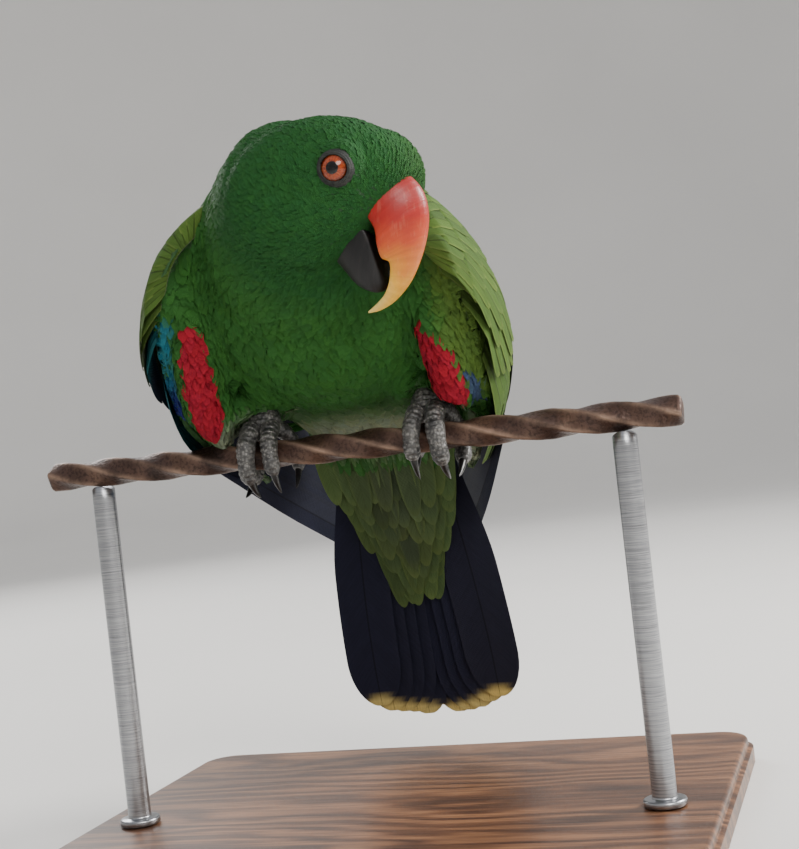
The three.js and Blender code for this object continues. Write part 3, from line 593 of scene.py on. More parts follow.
# The flank's coat, as balls along rows of outwards, y, z and radius
FLANK = [(37, -27, 49, 4.5), (40, -23, 40, 7.5), (41.5, -15, 27, 9.5), (41, -7, 16, 9), (39.5, 0, 8, 6.5),
         (38, 4, 4, 3.5)]
# Patches of colour for side 1 (left) and -1, in such rows: red on the flank, and blue by the wing's edge
RED_PATCHES = {
    1: [(36, -22, 33, 2.6), (37.5, -22.5, 29, 4), (38.5, -22, 25.5, 5.3), (38.5, -18.5, 21, 6.3),
        (38.5, -15, 16.5, 6.6), (41.5, -13, 12.3, 4.9), (43.5, -9, 8.5, 3)],
    -1: [(38, -29, 42, 3.4), (39, -27, 36.6, 4), (39, -24.5, 30.5, 4.3), (39.5, -20.5, 24, 4.7),
         (39.5, -17.5, 18.5, 5.2), (39.5, -14.5, 13.8, 5), (41, -10, 8.5, 3.6)],
}
BLUE_PATCHES = {
    1: [(47, -13, 18, 1.8), (48.5, -9, 15, 2.6), (48, -3, 10, 2.8)],
    -1: [(46.5, -27, 45, 2.4), (48, -24, 38, 3.2), (49.5, -21, 31, 3.8), (50.5, -16, 24, 3.8),
         (51, -10, 17, 3.2), (49.5, -4, 10, 2.8)],
}


PATCH_BALLS = 26  # balls that make up a patch


# How far inside (over 0) or outside a patch a point lies, as a share of its radius
def patch_share(body, patch):
    rows = smoothed(patch, PATCH_BALLS)
    return (1 - lengths(body[:, None] - rows[None, :, :3]) / rows[None, :, 3]).max(axis=1)


def flank_share(body):
    return patch_share(np.column_stack([np.abs(body[:, 0]), body[:, 1:]]), FLANK)


def patches_share(body, patches):
    return np.maximum(*(patch_share(body * (side, 1, 1), patches[side]) for side in SIDES))


def filled(colour, like):
    return np.tile(colour, (len(like), 1))


def blend_colours(base, other, share):
    return base + (np.asarray(other) - base) * np.asarray(share)[..., None]


def plumage(body):
    x, y, z = body.T
    wingward = smooth_step(39, 46, x) * smooth_step(8, 18, z)
    colours = blend_colours(np.tile(GREEN, (len(body), 1)), WING_GREEN, wingward)
    head_share = 1 - smooth_step(*HEAD_EDGE["colour"], lengths(to_head(body) - HEAD_MIDDLE))
    colours = blend_colours(colours, HEAD_GREEN, head_share)
    back = smooth_step(-30, 20, y) * smooth_step(30, 70, z + 0.7 * y)
    colours = blend_colours(colours, BACK_GREEN, back)
    vent = smooth_step(16, 5, z) * smooth_step(-26, -12, y) * smooth_step(50, 36, y)
    colours = blend_colours(colours, PALE_DOWN, 0.85 * vent * smooth_step(44, 39, np.abs(x)))
    blue = blend_colours(np.tile(BLUE, (len(body), 1)), TURQUOISE, smooth_step(20, 34, z))
    blue = blend_colours(blue, DUSK_BLUE, x > 0)
    colours = blend_colours(colours, blue, smooth_step(-0.1, 0.2, patches_share(body, BLUE_PATCHES)))
    return blend_colours(colours, OLIVE, smooth_step(-16, -34, z) * smooth_step(30, 50, y))


# Parts of the coat: the spacing of the feathers, their length and half width, and the grid of each
COAT = {
    "face": (0.74, 2.8, 0.68, 5, 5),
    "head": (1.1, 4.8, 1.15, 7, 6),
    "neck": (1.6, 8.0, 2.0, 7, 7),
    "breast": (1.9, 11.0, 2.7, 9, 7),
    "belly": (1.9, 12.0, 2.8, 9, 7),
    "thigh": (1.6, 9.0, 1.9, 7, 7),
    "down": (1.1, 8.0, 0.65, 5, 6),
    "flank": (1.2, 8.5, 1.25, 5, 7),
    "back": (2.2, 13.0, 3.8, 9, 7),
    "wing": (2.0, 9.0, 3.2, 9, 6),
}
REGIONS = list(COAT)
# How near a wing its coat lies, and how near and how deep inside its outer side a point is still measured
WING_COAT = {"gap": 3.2, "reach": 6, "inside": -2.2}


# Where each part of the coat lies. A later rule goes over an earlier one
def region_of(body):
    head = to_head(body)
    bill_gap = lengths((head - FACE_MIDDLE) / (1, 0.9, 1.25))
    head_gap = lengths(head - HEAD_MIDDLE)
    x, y, z = np.abs(body[:, 0]), body[:, 1], body[:, 2]
    rules = [
        ("back", z + 0.45 * y > 62),
        ("belly", (z < 14) | ((z < 22) & (y > 0))),
        ("back", (y > 22) & (z + 0.9 * y > 48)),
        ("thigh", (x > 17) & (z < 22) & (y < 30) & (y > -14)),
        ("down", (x < 41) & (z < 10.5) & (y > -20) & (y < 44)),
        ("wing", wing_gap(body) < WING_COAT["gap"]),
        ("flank", flank_share(body) > -0.05),
        ("neck", head_gap < 44),
        ("head", head_gap < 31),
        ("face", (head_gap < 34) & (bill_gap < 17)),
    ]
    region = np.full(len(body), REGIONS.index("breast"))
    for name, mask in rules:
        region[mask] = REGIONS.index(name)
    return region


# How far points lie from the fleshy part of the nearer wing, where they are by its outer side
def wing_gap(body):
    gap = np.full(len(body), FAR)
    for side in SIDES:
        s, t = np.meshgrid(np.linspace(0, WING_CORE["end"], 24), np.linspace(0, 1, 18), indexing="ij")
        point, normal, _, _ = wing_frames(side, s, t)
        surface, normals = (point - normal * WING_CORE["deep"]).reshape(-1, 3), normal.reshape(-1, 3)
        tree = tree_of(surface)
        for i, place in enumerate(body):
            if place[0] * side > 0:
                _, k, apart = tree.find(place)
                out = float(np.dot(place - surface[k], normals[k]))
                if apart < WING_COAT["reach"] and out > WING_COAT["inside"]:
                    gap[i] = min(gap[i], abs(out) + 0.2 * apart)
    return gap


# Values at a mesh's points, evened out over their neighbours
def blurred(mesh, values, rounds):
    ends = np.empty(len(mesh.edges) * 2, int)
    mesh.edges.foreach_get("vertices", ends)
    one, other = ends.reshape(-1, 2).T
    count = len(mesh.vertices)
    links = np.bincount(one, minlength=count) + np.bincount(other, minlength=count) + 1
    for _ in range(rounds):
        columns = [
            np.bincount(one, column[other], count) + np.bincount(other, column[one], count) + column
            for column in values.T
        ]
        values = np.stack(columns, axis=-1) / links[:, None]
    return values


# Roots of the feathers: points spread over the skin, no two nearer than the local spacing
def scatter(skin):
    mesh = skin.data
    corners, loops = triangles_of(mesh)
    points, normals = coordinates(mesh), point_normals(mesh)
    region = region_of(to_body(points))
    sizes = blurred(mesh, np.array([COAT[name][:3] for name in REGIONS])[region], SIZE_BLUR)
    a, b, c = (points[corners[:, i]] / MM for i in range(3))
    area = np.linalg.norm(np.cross(b - a, c - a), axis=-1) / 2
    want = area / sizes[corners[:, 0], 0] ** 2 * TRIES
    chosen = random.choice(len(area), size=int(want.sum()), p=want / want.sum())
    r1, r2 = np.sqrt(random.random(len(chosen))), random.random(len(chosen))
    share = np.stack([1 - r1, r1 * (1 - r2), r1 * r2], axis=-1)

    def spread(values):
        return np.einsum("ij,ijk->ik", share, values)

    spot = spread(points[corners[chosen]])
    uv = np.empty(len(mesh.loops) * 2)
    mesh.uv_layers["OFBake"].data.foreach_get("uv", uv)
    roots = {
        "place": spot,
        "normal": unit(spread(normals[corners[chosen]])),
        "bake": spread(uv.reshape(-1, 2)[loops[chosen]]),
        "size": spread(sizes[corners[chosen]]),
        "region": region[corners[chosen, 0]],
    }
    tree = tree_of(spot)
    dropped = eye_gap(to_body(spot))[0] < EYE_CLEAR["roots"]
    kept = []
    for i in range(len(spot)):
        if dropped[i]:
            continue
        kept.append(i)
        for _, k, _ in tree.find_range(spot[i], roots["size"][i, 0] * MM):
            dropped[k] = True
    return {key: values[kept] for key, values in roots.items()}


# One feather's grid, u from -1 to 1 across and v from 0 at its root to 1 at its tip
def vane_grid(across, steps):
    u, v = np.meshgrid(np.linspace(-1, 1, across), np.linspace(0, 1, steps) ** 0.85)
    row, column = np.meshgrid(np.arange(steps - 1), np.arange(across - 1), indexing="ij")
    a = row * across + column
    quads = np.stack([a, a + 1, a + 1 + across, a + across], axis=-1).reshape(-1, 4)
    return u.ravel(), v.ravel(), quads


# Half the width of a small feather along its length, as a share of its widest
def vane_width(v):
    waist = 0.45 + 0.55 * smooth_step(0, 0.5, v)
    return waist * np.sqrt(np.clip(1 - np.clip((v - 0.62) / 0.5, 0, 1) ** 2, 0.02, 1))


def rotate_about(normal, direction, angle):
    sideways = np.cross(normal, direction)
    return unit(direction * np.cos(angle)[:, None] + sideways * np.sin(angle)[:, None])


# How much of their length the feathers keep: less where a tip would cross an eye
def kept_length(body, flow, length):
    kept = np.ones(len(body))
    for _ in range(4):
        gap, _ = eye_gap(body + flow * (length * kept)[:, None])
        kept = np.where(gap < EYE_CLEAR["tips"], kept * 0.75, kept)
    return kept


# How much the small feathers vary (standard deviations), more so the height of the down's tips
VARY = {"length": 0.09, "half": 0.07, "turn": 0.09, "red": 0.03, "fray": 0.045, "roll": 0.05, "tone": 0.06}
VARY_TIP = {"coat_down": 0.3, "coat": 0.07}
BAKE_PATCH = (0.0013, 0.0026)  # the room of a small feather in the bake map, across and along
SEEN = 0.8  # how far down a small feather its colour is read


# Contour feathers as one mesh: flat patches at their roots, then draped over the skin
def contour_feathers(name, skin, roots, across, steps):
    place, normal = roots["place"] / MM, roots["normal"]
    count = len(place)
    body = to_body(place * MM)
    length = roots["size"][:, 1] * random.normal(1, VARY["length"], count)
    half = roots["size"][:, 2] * random.normal(1, VARY["half"], count)
    flow = lie_of_coat(body, normal @ BODY_ROTATION) @ BODY_ROTATION.T
    flow = rotate_about(normal, flow, random.normal(0, VARY["turn"], count))
    length = length * kept_length(body, flow @ BODY_ROTATION, length)
    seen = body + flow @ BODY_ROTATION * (SEEN * length)[:, None]
    red = patches_share(seen, RED_PATCHES) + random.normal(0, VARY["red"], count) > 0
    sideways = np.cross(normal, flow)
    u, v, quads = vane_grid(across, steps)
    fray = np.where(v > 0.99, random.normal(0, VARY["fray"], (count, len(v))), 0)
    x = half[:, None] * u * vane_width(v)
    y = length[:, None] * (v * (1 - 0.2 * u**2 * v) + fray)
    points = place[:, None] + flow[:, None] * y[..., None] + sideways[:, None] * x[..., None]
    tip = coat_depth(body) * random.normal(1, VARY_TIP.get(name, VARY_TIP["coat"]), count)
    roll = random.normal(0, VARY["roll"], count) * half
    rise = v**0.75 - 0.04 * u**2 * v
    height = tip[:, None] * rise + roll[:, None] * u * v - COAT_ROOT
    faces = (quads[None] + (np.arange(count) * len(u))[:, None, None]).reshape(-1, 4)
    thing = new_object(name, points.reshape(-1, 3) * MM, faces)
    add_values(thing, "height", height * MM)
    colours = plumage(seen)
    colours[red] = RED
    colours *= random.normal(1, VARY["tone"], count)[:, None]
    add_colour(thing, "coat", np.repeat(colours, len(u), axis=0))
    luck = random.random(count)
    vane = np.stack([np.tile(u, count), np.tile(v, count), np.repeat(luck, len(u))], axis=-1)
    add_values(thing, "vane", vane, "FLOAT_VECTOR")
    size = np.stack([half, length, np.zeros(count)], axis=-1)
    add_values(thing, "size", np.repeat(size, len(u), axis=0), "FLOAT_VECTOR")
    patch = np.stack([u, v], axis=-1) * BAKE_PATCH
    add_bake_map(thing, roots["bake"][:, None] + patch[None])
    drape(thing, skin)
    return thing


# Lays every point of a mesh over the skin, at the height that its value "height" gives
def drape(thing, skin):
    group = bpy.data.node_groups.new("drape", "GeometryNodeTree")
    for way in ("INPUT", "OUTPUT"):
        group.interface.new_socket("Geometry", in_out=way, socket_type="NodeSocketGeometry")

    def node(kind, **settings):
        made = group.nodes.new(kind)
        for setting, value in settings.items():
            setattr(made, setting, value)
        return made

    start, end, body = node("NodeGroupInput"), node("NodeGroupOutput"), node("GeometryNodeObjectInfo")
    near = node("GeometryNodeProximity", target_element="FACES")
    sample = node("GeometryNodeSampleNearestSurface", data_type="FLOAT_VECTOR")
    outward = node("GeometryNodeInputNamedAttribute", data_type="FLOAT_VECTOR")
    height = node("GeometryNodeInputNamedAttribute", data_type="FLOAT")
    raised = node("ShaderNodeVectorMath", operation="SCALE")
    total = node("ShaderNodeVectorMath", operation="ADD")
    move = node("GeometryNodeSetPosition")
    body.inputs["Object"].default_value = skin
    outward.inputs["Name"].default_value = "outward"
    height.inputs["Name"].default_value = "height"
    for giver, output, taker, entry in (
        (body, "Geometry", near, 0),
        (body, "Geometry", sample, "Mesh"),
        (outward, "Attribute", sample, "Value"),
        (sample, "Value", raised, 0),
        (height, "Attribute", raised, "Scale"),
        (near, "Position", total, 0),
        (raised, "Vector", total, 1),
        (start, 0, move, "Geometry"),
        (total, "Vector", move, "Position"),
        (move, "Geometry", end, 0),
    ):
        group.links.new(giver.outputs[output], taker.inputs[entry])
    thing.modifiers.new("drape", "NODES").node_group = group
    applied(thing)


# Large feathers, each with an upper and an under face. lay(u, v) gives the points and the outward normals
# of one feather, u across and v from root to tip
VANE_THICK = 0.16
VANE_END = 1.003  # just past a feather's tip, which so keeps a little width
SHAFT = {"half": 0.45, "height": 0.16}


def feather(lay, half, length, top, under, shade=1, shaft=1):
    return dict(lay=lay, half=half, length=length, top=top, under=under, shade=shade, shaft=shaft)


def vane_half(v, half, root, round_from):
    swell = root + (1 - root) * smooth_step(0, 0.45, v)
    tip = np.clip((v - round_from) / (VANE_END - round_from), 0, 1)
    return half * swell * np.sqrt(np.clip(1 - tip**2, 0, 1))


def large_feathers(name, feathers, across=9, steps=18):
    u, v = np.meshgrid(np.linspace(-1, 1, across), 1 - (1 - np.linspace(0, 1, steps)) ** 1.6)
    u, v = u.ravel(), v.ravel()
    quads = vane_grid(across, steps)[2]
    points, colours, vanes, sizes, bakes, faces = [], [], [], [], [], []
    cells = math.ceil(math.sqrt(2 * len(feathers)))
    for number, one in enumerate(feathers):
        place, normal = one["lay"](u, v)
        shaft = np.exp(-((u * one["half"] / SHAFT["half"]) ** 2)) * SHAFT["height"] * (1.1 - v) * one["shaft"]
        for face in (1, -1):
            depth = face * (VANE_THICK * 0.5 * (1 - 0.8 * u**2) + shaft)
            start = len(u) * len(points)
            points.append(place + normal * depth[:, None])
            colours.append(one["top" if face > 0 else "under"](u, v) * one["shade"])
            vanes.append(np.stack([u, 0.35 + 0.65 * v, np.full(len(u), random.random())], axis=-1))
            sizes.append(filled((one["half"], one["length"], one["shaft"]), u))
            cell = 2 * number + (face < 0)
            corner = np.array([cell % cells, cell // cells]) / cells
            bakes.append(corner + np.stack([0.1 + 0.4 * (u + 1), 0.05 + 0.9 * v], axis=-1) / cells)
            faces.append((quads if face > 0 else quads[:, ::-1]) + start)
    thing = new_object(name, to_world(np.vstack(points)), np.vstack(faces))
    add_colour(thing, "coat", np.vstack(colours))
    add_values(thing, "vane", np.vstack(vanes), "FLOAT_VECTOR")
    add_values(thing, "size", np.vstack(sizes), "FLOAT_VECTOR")
    add_bake_map(thing, np.vstack(bakes))
    thing.data.materials.append(plumage_material)
    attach(thing, "root")
    return thing


def one_colour(colour):
    return lambda u, v: filled(colour, u)


# One colour at the root and another towards the tip
def fading(root, tip):
    return lambda u, v: blend_colours(filled(root, u), tip, smooth_step(0.45, 0.85, v))


# A colour for the outer web, another for the inner web, and a third towards the tip's rim
def webbed(outer, inner, rim, rim_share):
    def paint(u, v):
        base = blend_colours(filled(inner, u), outer, smooth_step(-0.25, 0.1, u))
        return blend_colours(base, rim, rim_share * smooth_step(0.75, 1, np.maximum(np.abs(u), v**2)))

    return paint


NIGHT = screen(18, 20, 30)
UNDERWING = screen(34, 37, 56)
WING_GREEN = screen(78, 107, 43)
# The pale rim of the wing's feathers: partly a paler fringe, partly painted highlight along their edges
WING_RIM_HIGHLIGHT = screen(124, 140, 74)
FAN = {"lap": 0.5, "steepest": 0.18, "root_depth": 3.6}
# The primaries: across the wing (t) and along it (s) their roots at 0 and tips at 1, how deep the first
# lies, how much deeper each next one, and their bow and tilt
PRIMARIES = {"count": 8, "t0": (0.62, 0.9), "t1": (0.3, 0.72), "s0": 0.4, "s1": (0.76, 0.985), "half": 5.6,
             "deep": 1.5, "deeper": 0.6, "bow": 8, "tilt": 0.5}


def primary_feathers(side):
    middle = wing_frames(side, 0.75, 0.55)[1]
    tip = wing_points(side, 1, 0.5)[0]
    origin = wing_points(side, PRIMARIES["s0"], 0.78)[0]
    axis = unit(tip - origin)
    across = unit(np.cross(axis, middle)) * side
    outward = unit(np.cross(across, axis)) * side
    half, bow, tilt = (PRIMARIES[key] for key in ("half", "bow", "tilt"))
    feathers = []
    for i in range(PRIMARIES["count"]):
        t0, t1, s1 = (between(PRIMARIES[key], i / (PRIMARIES["count"] - 1)) for key in ("t0", "t1", "s1"))
        start = wing_points(side, PRIMARIES["s0"], t0)[0]
        end = wing_points(side, s1, t1)[0]
        deep = PRIMARIES["deep"] + PRIMARIES["deeper"] * i

        def lay(u, v, start=start, end=end, deep=deep):
            point = between((start, end), v[:, None]) + across * (u * vane_half(v, half, 0.6, 0.6))[:, None]
            point = point - outward * ((point - origin) @ outward)[:, None]
            height = -deep + bow * v * (1 - v) - tilt * u
            return point + outward * height[:, None], filled(outward, u)

        feathers.append(feather(lay, half, float(lengths(end - start)), primary_paint, one_colour(UNDERWING)))
    return feathers


# Primaries: violet-blue outer webs, black inner webs, and darker towards the tip
def primary_paint(u, v):
    blue = blend_colours(filled(BLUE, u), NIGHT, 0.75 * smooth_step(0.55, 1, v))
    return blend_colours(blue, NIGHT, smooth_step(0.05, -0.25, u))


# One tier: how many, across the wing (t) the first and last root and tip, along it (s) the same, then half
# width, height over the wing, and the paints of the two faces
def tier_feathers(side, count, t0, t1, s0, s1, half, lift, top, under):
    gap = (abs(t1[1] - t1[0]) + abs(t0[1] - t0[0])) / 2 / (count - 1)
    feathers = []
    for i in range(count):
        share = i / (count - 1)
        wobble = random.normal(0, 1, 4)
        roots, tips, first, last = (between(pair, share) for pair in (t0, t1, s0, s1))
        tips, last = tips + 0.004 * wobble[0], last + 0.006 * wobble[1]

        def lay(u, v, roots=roots, tips=tips, first=first, last=last, wobble=wobble):
            s, t = between((first, last), v), between((roots, tips), v)
            width = lengths(wing_frames(side, s, t)[2])
            reach = u * vane_half(v, half, 0.5, 0.66)
            point, normal, _, _ = wing_frames(side, s, np.clip(t + reach / width, 0.005, 0.995))
            rise = np.minimum(1, v * 2.4)
            tilt = np.minimum(FAN["lap"] / (gap * width), FAN["steepest"]) * reach
            bow = -0.35 * u**2 + 0.12 * wobble[2] * v
            height = FAN["root_depth"] * (rise - 1) + (lift + tilt + bow) * rise
            return point + normal * height[:, None], normal

        length = float(lengths(wing_points(side, last, tips)[0] - wing_points(side, first, roots)[0]))
        feathers.append(feather(lay, half, length, top(share), under, 1 + 0.06 * wobble[3]))
    return feathers


# Where the feathers at the lower edge of each wing end, and the blue share of its last secondary
WING_EDGE = {1: {"s": (0.58, 0.5), "t": 0.95, "blue": 0.2}, -1: {"s": (0.57, 0.51), "t": 0.87, "blue": 0.5}}


# The tiers of a wing over its primaries, from the secondaries to the small coverts by the shoulder
def wing_tiers(side):
    end, low, blue = (WING_EDGE[side][key] for key in ("s", "t", "blue"))

    # Green coverts whose pale rim is partly painted highlight
    def green(_):
        return webbed(WING_GREEN, WING_GREEN * 0.8, WING_RIM_HIGHLIGHT, 0.35)

    def turquoise(_):
        return fading(TURQUOISE, BLUE)

    def flight(share):
        outer = blend_colours(WING_GREEN, BLUE, 0.06 + blue * share**2)
        inner = blend_colours(WING_GREEN, NIGHT, min(1, 0.2 + 1.6 * share))
        return webbed(outer, inner, WING_GREEN * 0.7, 0.3)

    edge = green if side > 0 else turquoise
    bend = fading((WING_GREEN if side > 0 else TURQUOISE) * 0.5, UNDERWING)
    dark, grey = one_colour(UNDERWING), one_colour(DOWN_GREY)
    rows = [
        (11, (0.05, 0.62), (0.07, 0.67), (0.38, 0.36), (0.6, 0.74), 6.4, -1.2, flight, dark),
        (7, (0.7, 0.95), (0.72, low), (0.26, 0.24), end, 4.4, -0.5, edge, bend),
        (11, (0.05, 0.66), (0.07, 0.71), (0.26, 0.24), (0.475, 0.45), 6, 0, green, grey),
        (4, (0.78, 0.94), (0.8, low), (0.14, 0.13), (0.34, 0.29), 4, 0.5, edge, bend),
        (12, (0.03, 0.74), (0.04, 0.79), (0.17, 0.16), (0.355, 0.33), 5.6, 0.9, green, grey),
        (13, (0.02, 0.86), (0.03, 0.9), (0.12, 0.11), (0.27, 0.25), 4.8, 1.5, green, grey),
        (14, (0.02, 0.9), (0.02, 0.94), (0.08, 0.07), (0.205, 0.19), 4.2, 1.7, green, grey),
        (14, (0.02, 0.92), (0.02, 0.96), (0.03, 0.03), (0.145, 0.135), 3.8, 1.5, green, grey),
    ]
    return [one for row in rows for one in tier_feathers(side, *row)]


def build_wings():
    for side, word in SIDES.items():
        wing = large_feathers(f"wing_feathers_{word}", primary_feathers(side) + wing_tiers(side))
        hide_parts(f"wing_{word}")


# The tail: six pairs, the middle pair over the rest, seen from below dark with pale tips
TAIL_FAN = {"pairs": 6, "start": 14, "root": 17.0, "tip": 34.5, "half": 10.6, "lap": 0.8, "shorter": 0.28}
MIDDLE_SHORTER = 3
TAIL_TIP = screen(222, 204, 128)
TAIL_TOP = {"root": screen(30, 92, 44), "middle": screen(20, 76, 92), "end": screen(16, 38, 92)}


# Tiers of upper tail coverts: count, start and end down the tail, height over it, half width
TAIL_COVERTS = [
    (7, 30, 80, 3.4, 5.0), (8, 24, 72, 3.9, 4.8), (8, 16, 64, 4.5, 4.8), (9, 9, 56, 5.1, 4.6),
    (9, 2, 48, 5.7, 4.6), (9, -5, 40, 6.3, 4.6), (9, -11, 32, 6.9, 4.6),
]
# Tiers under the tail: count, start and end down it, half the fan's width at roots and tips, and how far
# the roots and the tips hang before its plane
UNDERTAIL = [
    (6, 40, 77, 9, 7.5, 8.4, 5), (7, 33, 71, 11, 9, 9.6, 6), (8, 25, 64, 14, 11, 11, 7.2),
    (9, 17, 56, 17, 13.5, 13.4, 8.6), (10, 9, 48, 20, 16.5, 15.6, 10.6), (10, 0, 39, 22, 19, 18, 12.8),
    (10, -9, 31, 23, 21, 20, 15.4),
]
UNDERTAIL_HALF = 4.3


def tail_lay(start, end, half, height, tilt, root=0.5, round_from=0.5):
    def lay(u, v):
        down = between((start[0], end[0]), v)
        side = between((start[1], end[1]), np.sin(v * math.pi / 2))
        reach = u * vane_half(v, half, root, round_from)
        lift = height(v) + tilt * reach * np.minimum(1, v * 2) - 0.02 * reach**2 / half * 5
        return in_tail(down, side + reach, lift), filled(TAIL_AXES[2], u)

    return lay


def tail_under(u, v):
    return blend_colours(filled(UNDERWING, u), TAIL_TIP, smooth_step(0.945, 0.975, v - 0.02 * u**2))


def tail_upper(u, v):
    colours = blend_colours(filled(TAIL_TOP["root"], u), TAIL_TOP["middle"], smooth_step(0.35, 0.6, v))
    colours = blend_colours(colours, TAIL_TOP["end"], smooth_step(0.6, 0.88, v))
    colours = blend_colours(colours, NIGHT, 0.35 * smooth_step(0.5, 1, np.abs(u)))
    return blend_colours(colours, TAIL_TIP, smooth_step(0.95, 0.975, v - 0.02 * u**2))


# Places across a fan of so many feathers, from -1 to 1
def fan_places(count):
    return [2 * i / (count - 1) - 1 for i in range(count)]


def build_tail():
    pairs, half = TAIL_FAN["pairs"], TAIL_FAN["half"]
    feathers = []
    for k in range(pairs):
        for side in SIDES:
            layer = TAIL_FAN["lap"] * (2.2 - k - (0 if side > 0 else 0.5))
            length = TAIL["length"] - TAIL_FAN["shorter"] * k * k - (0 if k else MIDDLE_SHORTER)
            length += random.normal(0, 0.5)
            root = (TAIL_FAN["start"], side * TAIL_FAN["root"] * ((k + 0.5) / pairs))
            tip = (length, side * (TAIL_FAN["tip"] - half) * (k + 0.4) / (pairs - 0.6))

            def spread(v, layer=layer):
                return layer * np.minimum(1, 0.4 + v)

            lay = tail_lay(root, tip, half, spread, -side * 0.03, 0.6, 0.8)
            feathers.append(feather(lay, half, length, tail_upper, tail_under))
    # Tail coverts in back green, their faint pale rim partly painted highlight
    top, under = webbed(BACK_GREEN, BACK_GREEN, WING_RIM_HIGHLIGHT, 0.15), one_colour(DOWN_GREY)
    for count, start, end, height, half in TAIL_COVERTS:
        for f in fan_places(count):
            wobble = random.normal(0, 1, 4)

            def bend(v, height=height + 0.15 * wobble[0], f=f):
                return height - 2 * f * f - 3.5 * (1 - np.minimum(1, v * 1.8))

            tip = (end - 9 * f * f + 1.8 * wobble[1], f * 15.5 + 0.9 * wobble[2])
            lay = tail_lay((start, f * 11), tip, half, bend, -0.1 * np.sign(f))
            feathers.append(feather(lay, half, end - start, top, under, 1 + 0.07 * wobble[3]))
    tail = large_feathers("tail_feathers", feathers, across=11, steps=24)
    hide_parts("tail")


def build_undertail():
    feathers, top = [], one_colour(DOWN_GREY)
    for count, start, end, wide, tip_wide, low, high in UNDERTAIL:
        for f in fan_places(count):
            wobble = random.normal(0, 1, 3)
            tone = blend_colours(VENT_GREEN, VENT_GREY, 0.8 * (1 - abs(f)) * smooth_step(80, 50, end))

            def hang(v, low=low, high=high, f=f):
                return 2.2 * (1 - np.minimum(1, v * 2)) - between((low, high), v) + 2.5 * f * f

            tip = (end - 3 * f * f + 2.4 * wobble[0], f * tip_wide + wobble[1])
            lay = tail_lay((start, f * wide), tip, UNDERTAIL_HALF, hang, 0.1 * np.sign(f))
            under, shade = webbed(tone, tone, OLIVE, 0.25), 1 + 0.1 * wobble[2]
            feathers.append(feather(lay, UNDERTAIL_HALF, end - start, top, under, shade, 0.2))
    undertail = large_feathers("undertail_feathers", feathers, across=9, steps=14)
    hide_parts("undertail_coverts")


# The bill. Each row of the upper half: its cutting edge and its ridge (ahead, up), half width at the edge
# and swell of the flank. Each row of the lower half: its rim, its keel, half width at the rim and swell
UPPER_BILL = [
    (-12, -13.5, -9, 0.5, 8, 8.5),
    (-6.5, -14, -3, 1, 9.2, 9.2),
    (-0.5, -16.8, 4.2, -1.2, 9.4, 9),
    (2.4, -21, 9, -6, 8.8, 8.2),
    (4.8, -23.8, 11.8, -12.2, 7.6, 7),
    (7.3, -24.1, 13.2, -19.5, 6.2, 5.7),
    (8.8, -28.6, 13.4, -27, 4.5, 4.2),
    (8.7, -33.4, 11.6, -34, 3, 2.9),
    (7, -37.4, 8.5, -38.8, 1.5, 1.5),
    (4.9, -41.1, 5.2, -41.5, 0.25, 0.25),
]
LOWER_BILL = [
    (-15, -17, -16, -31, 7, 6),
    (-9, -17.4, -9, -33.2, 8, 6.9),
    (-3, -19.2, -2, -35.6, 7.9, 6.8),
    (1.6, -23.6, 3.2, -35.4, 6.8, 5.8),
    (4.6, -27.4, 6.4, -33.8, 4.8, 4.1),
    (6, -29, 7.5, -31.4, 2.5, 2.2),
    (6.6, -30, 7.2, -31, 0.9, 0.8),
]
# Half of a section, from the inside of the edge to the ridge: share of the way up, and the half width as
# shares of the edge's and of the swell
UPPER_SECTION = [
    (0.09, 0, 0), (0, 0.8, 0), (0.1, 1, 0), (0.4, 0, 1), (0.72, 0, 0.72), (0.93, 0, 0.34), (1, 0, 0),
]
LOWER_SECTION = [(0.07, 0, 0), (0, 0.75, 0), (0.06, 1, 0), (0.5, 0, 1), (0.85, 0.45, 0), (1, 0, 0)]
BILL_GRID = (72, 56)


def bill_half(name, rows, section, finish):
    count, sides = BILL_GRID
    rings, rise, along = [], [], np.linspace(0, 1, count)
    for row in along_rows(rows, along * (len(rows) - 1)):
        half = np.array([(share, row[4] * edge + row[5] * swell) for share, edge, swell in section])
        curve = closed_curve(np.vstack([half, half[-2:0:-1] * (1, -1)]), sides)
        rise.append(curve[:, 0])
        middle = row[:2] + (row[2:4] - row[:2]) * curve[:, :1]
        rings.append(in_head(np.column_stack([middle[:, 0], curve[:, 1], middle[:, 1]])))
    piece = tube(name, to_world(rings))
    add_values(piece, "along", np.append(np.repeat(along, sides), (0, 1)))
    add_values(piece, "rise", np.append(np.concatenate(rise), (0.5, 0.5)))
    piece.data.materials.append(finish)
    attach(piece, "root")
    return piece


def build_bill():
    upper = bill_half("bill_horn_upper", UPPER_BILL, UPPER_SECTION, horn_finish())
    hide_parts("bill_upper")
    lower = bill_half("bill_horn_lower", LOWER_BILL, LOWER_SECTION, dark_horn_finish("bill_black", 0.5))
    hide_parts("bill_lower")


# The eyes, and round each a ring of lid given by its distance from the eye's axis and its height along it
LID = [
    (3.95, 3.42), (4.02, 3.74), (4.2, 3.94), (4.42, 3.92), (4.56, 3.74), (4.72, 3.72), (4.92, 3.5),
    (5.04, 3.2), (5.22, 3.06), (5.5, 2.6), (5.8, 1.9), (6.1, 1), (6.2, 0), (5.6, -0.6), (5.3, 1), (4.5, 2.7),
]
LID_SHAPE = {"outer": 6.2, "wide": 2.2, "oval": 0.06, "crease": 0.05, "creased_over": 2.5}
CORNEA = {"height": 0.3, "outer": 3.6, "inner": 1.2}
EYE_GRID = (44, 48)
LID_GRID = (120, 56)


def around_eye(side, apart, height, angle):
    centre, outward, level, rise = eye_frame(side)
    spoke = np.cos(angle)[..., None] * level + np.sin(angle)[..., None] * rise
    return in_head(centre + np.asarray(apart)[..., None] * spoke + np.asarray(height)[..., None] * outward)


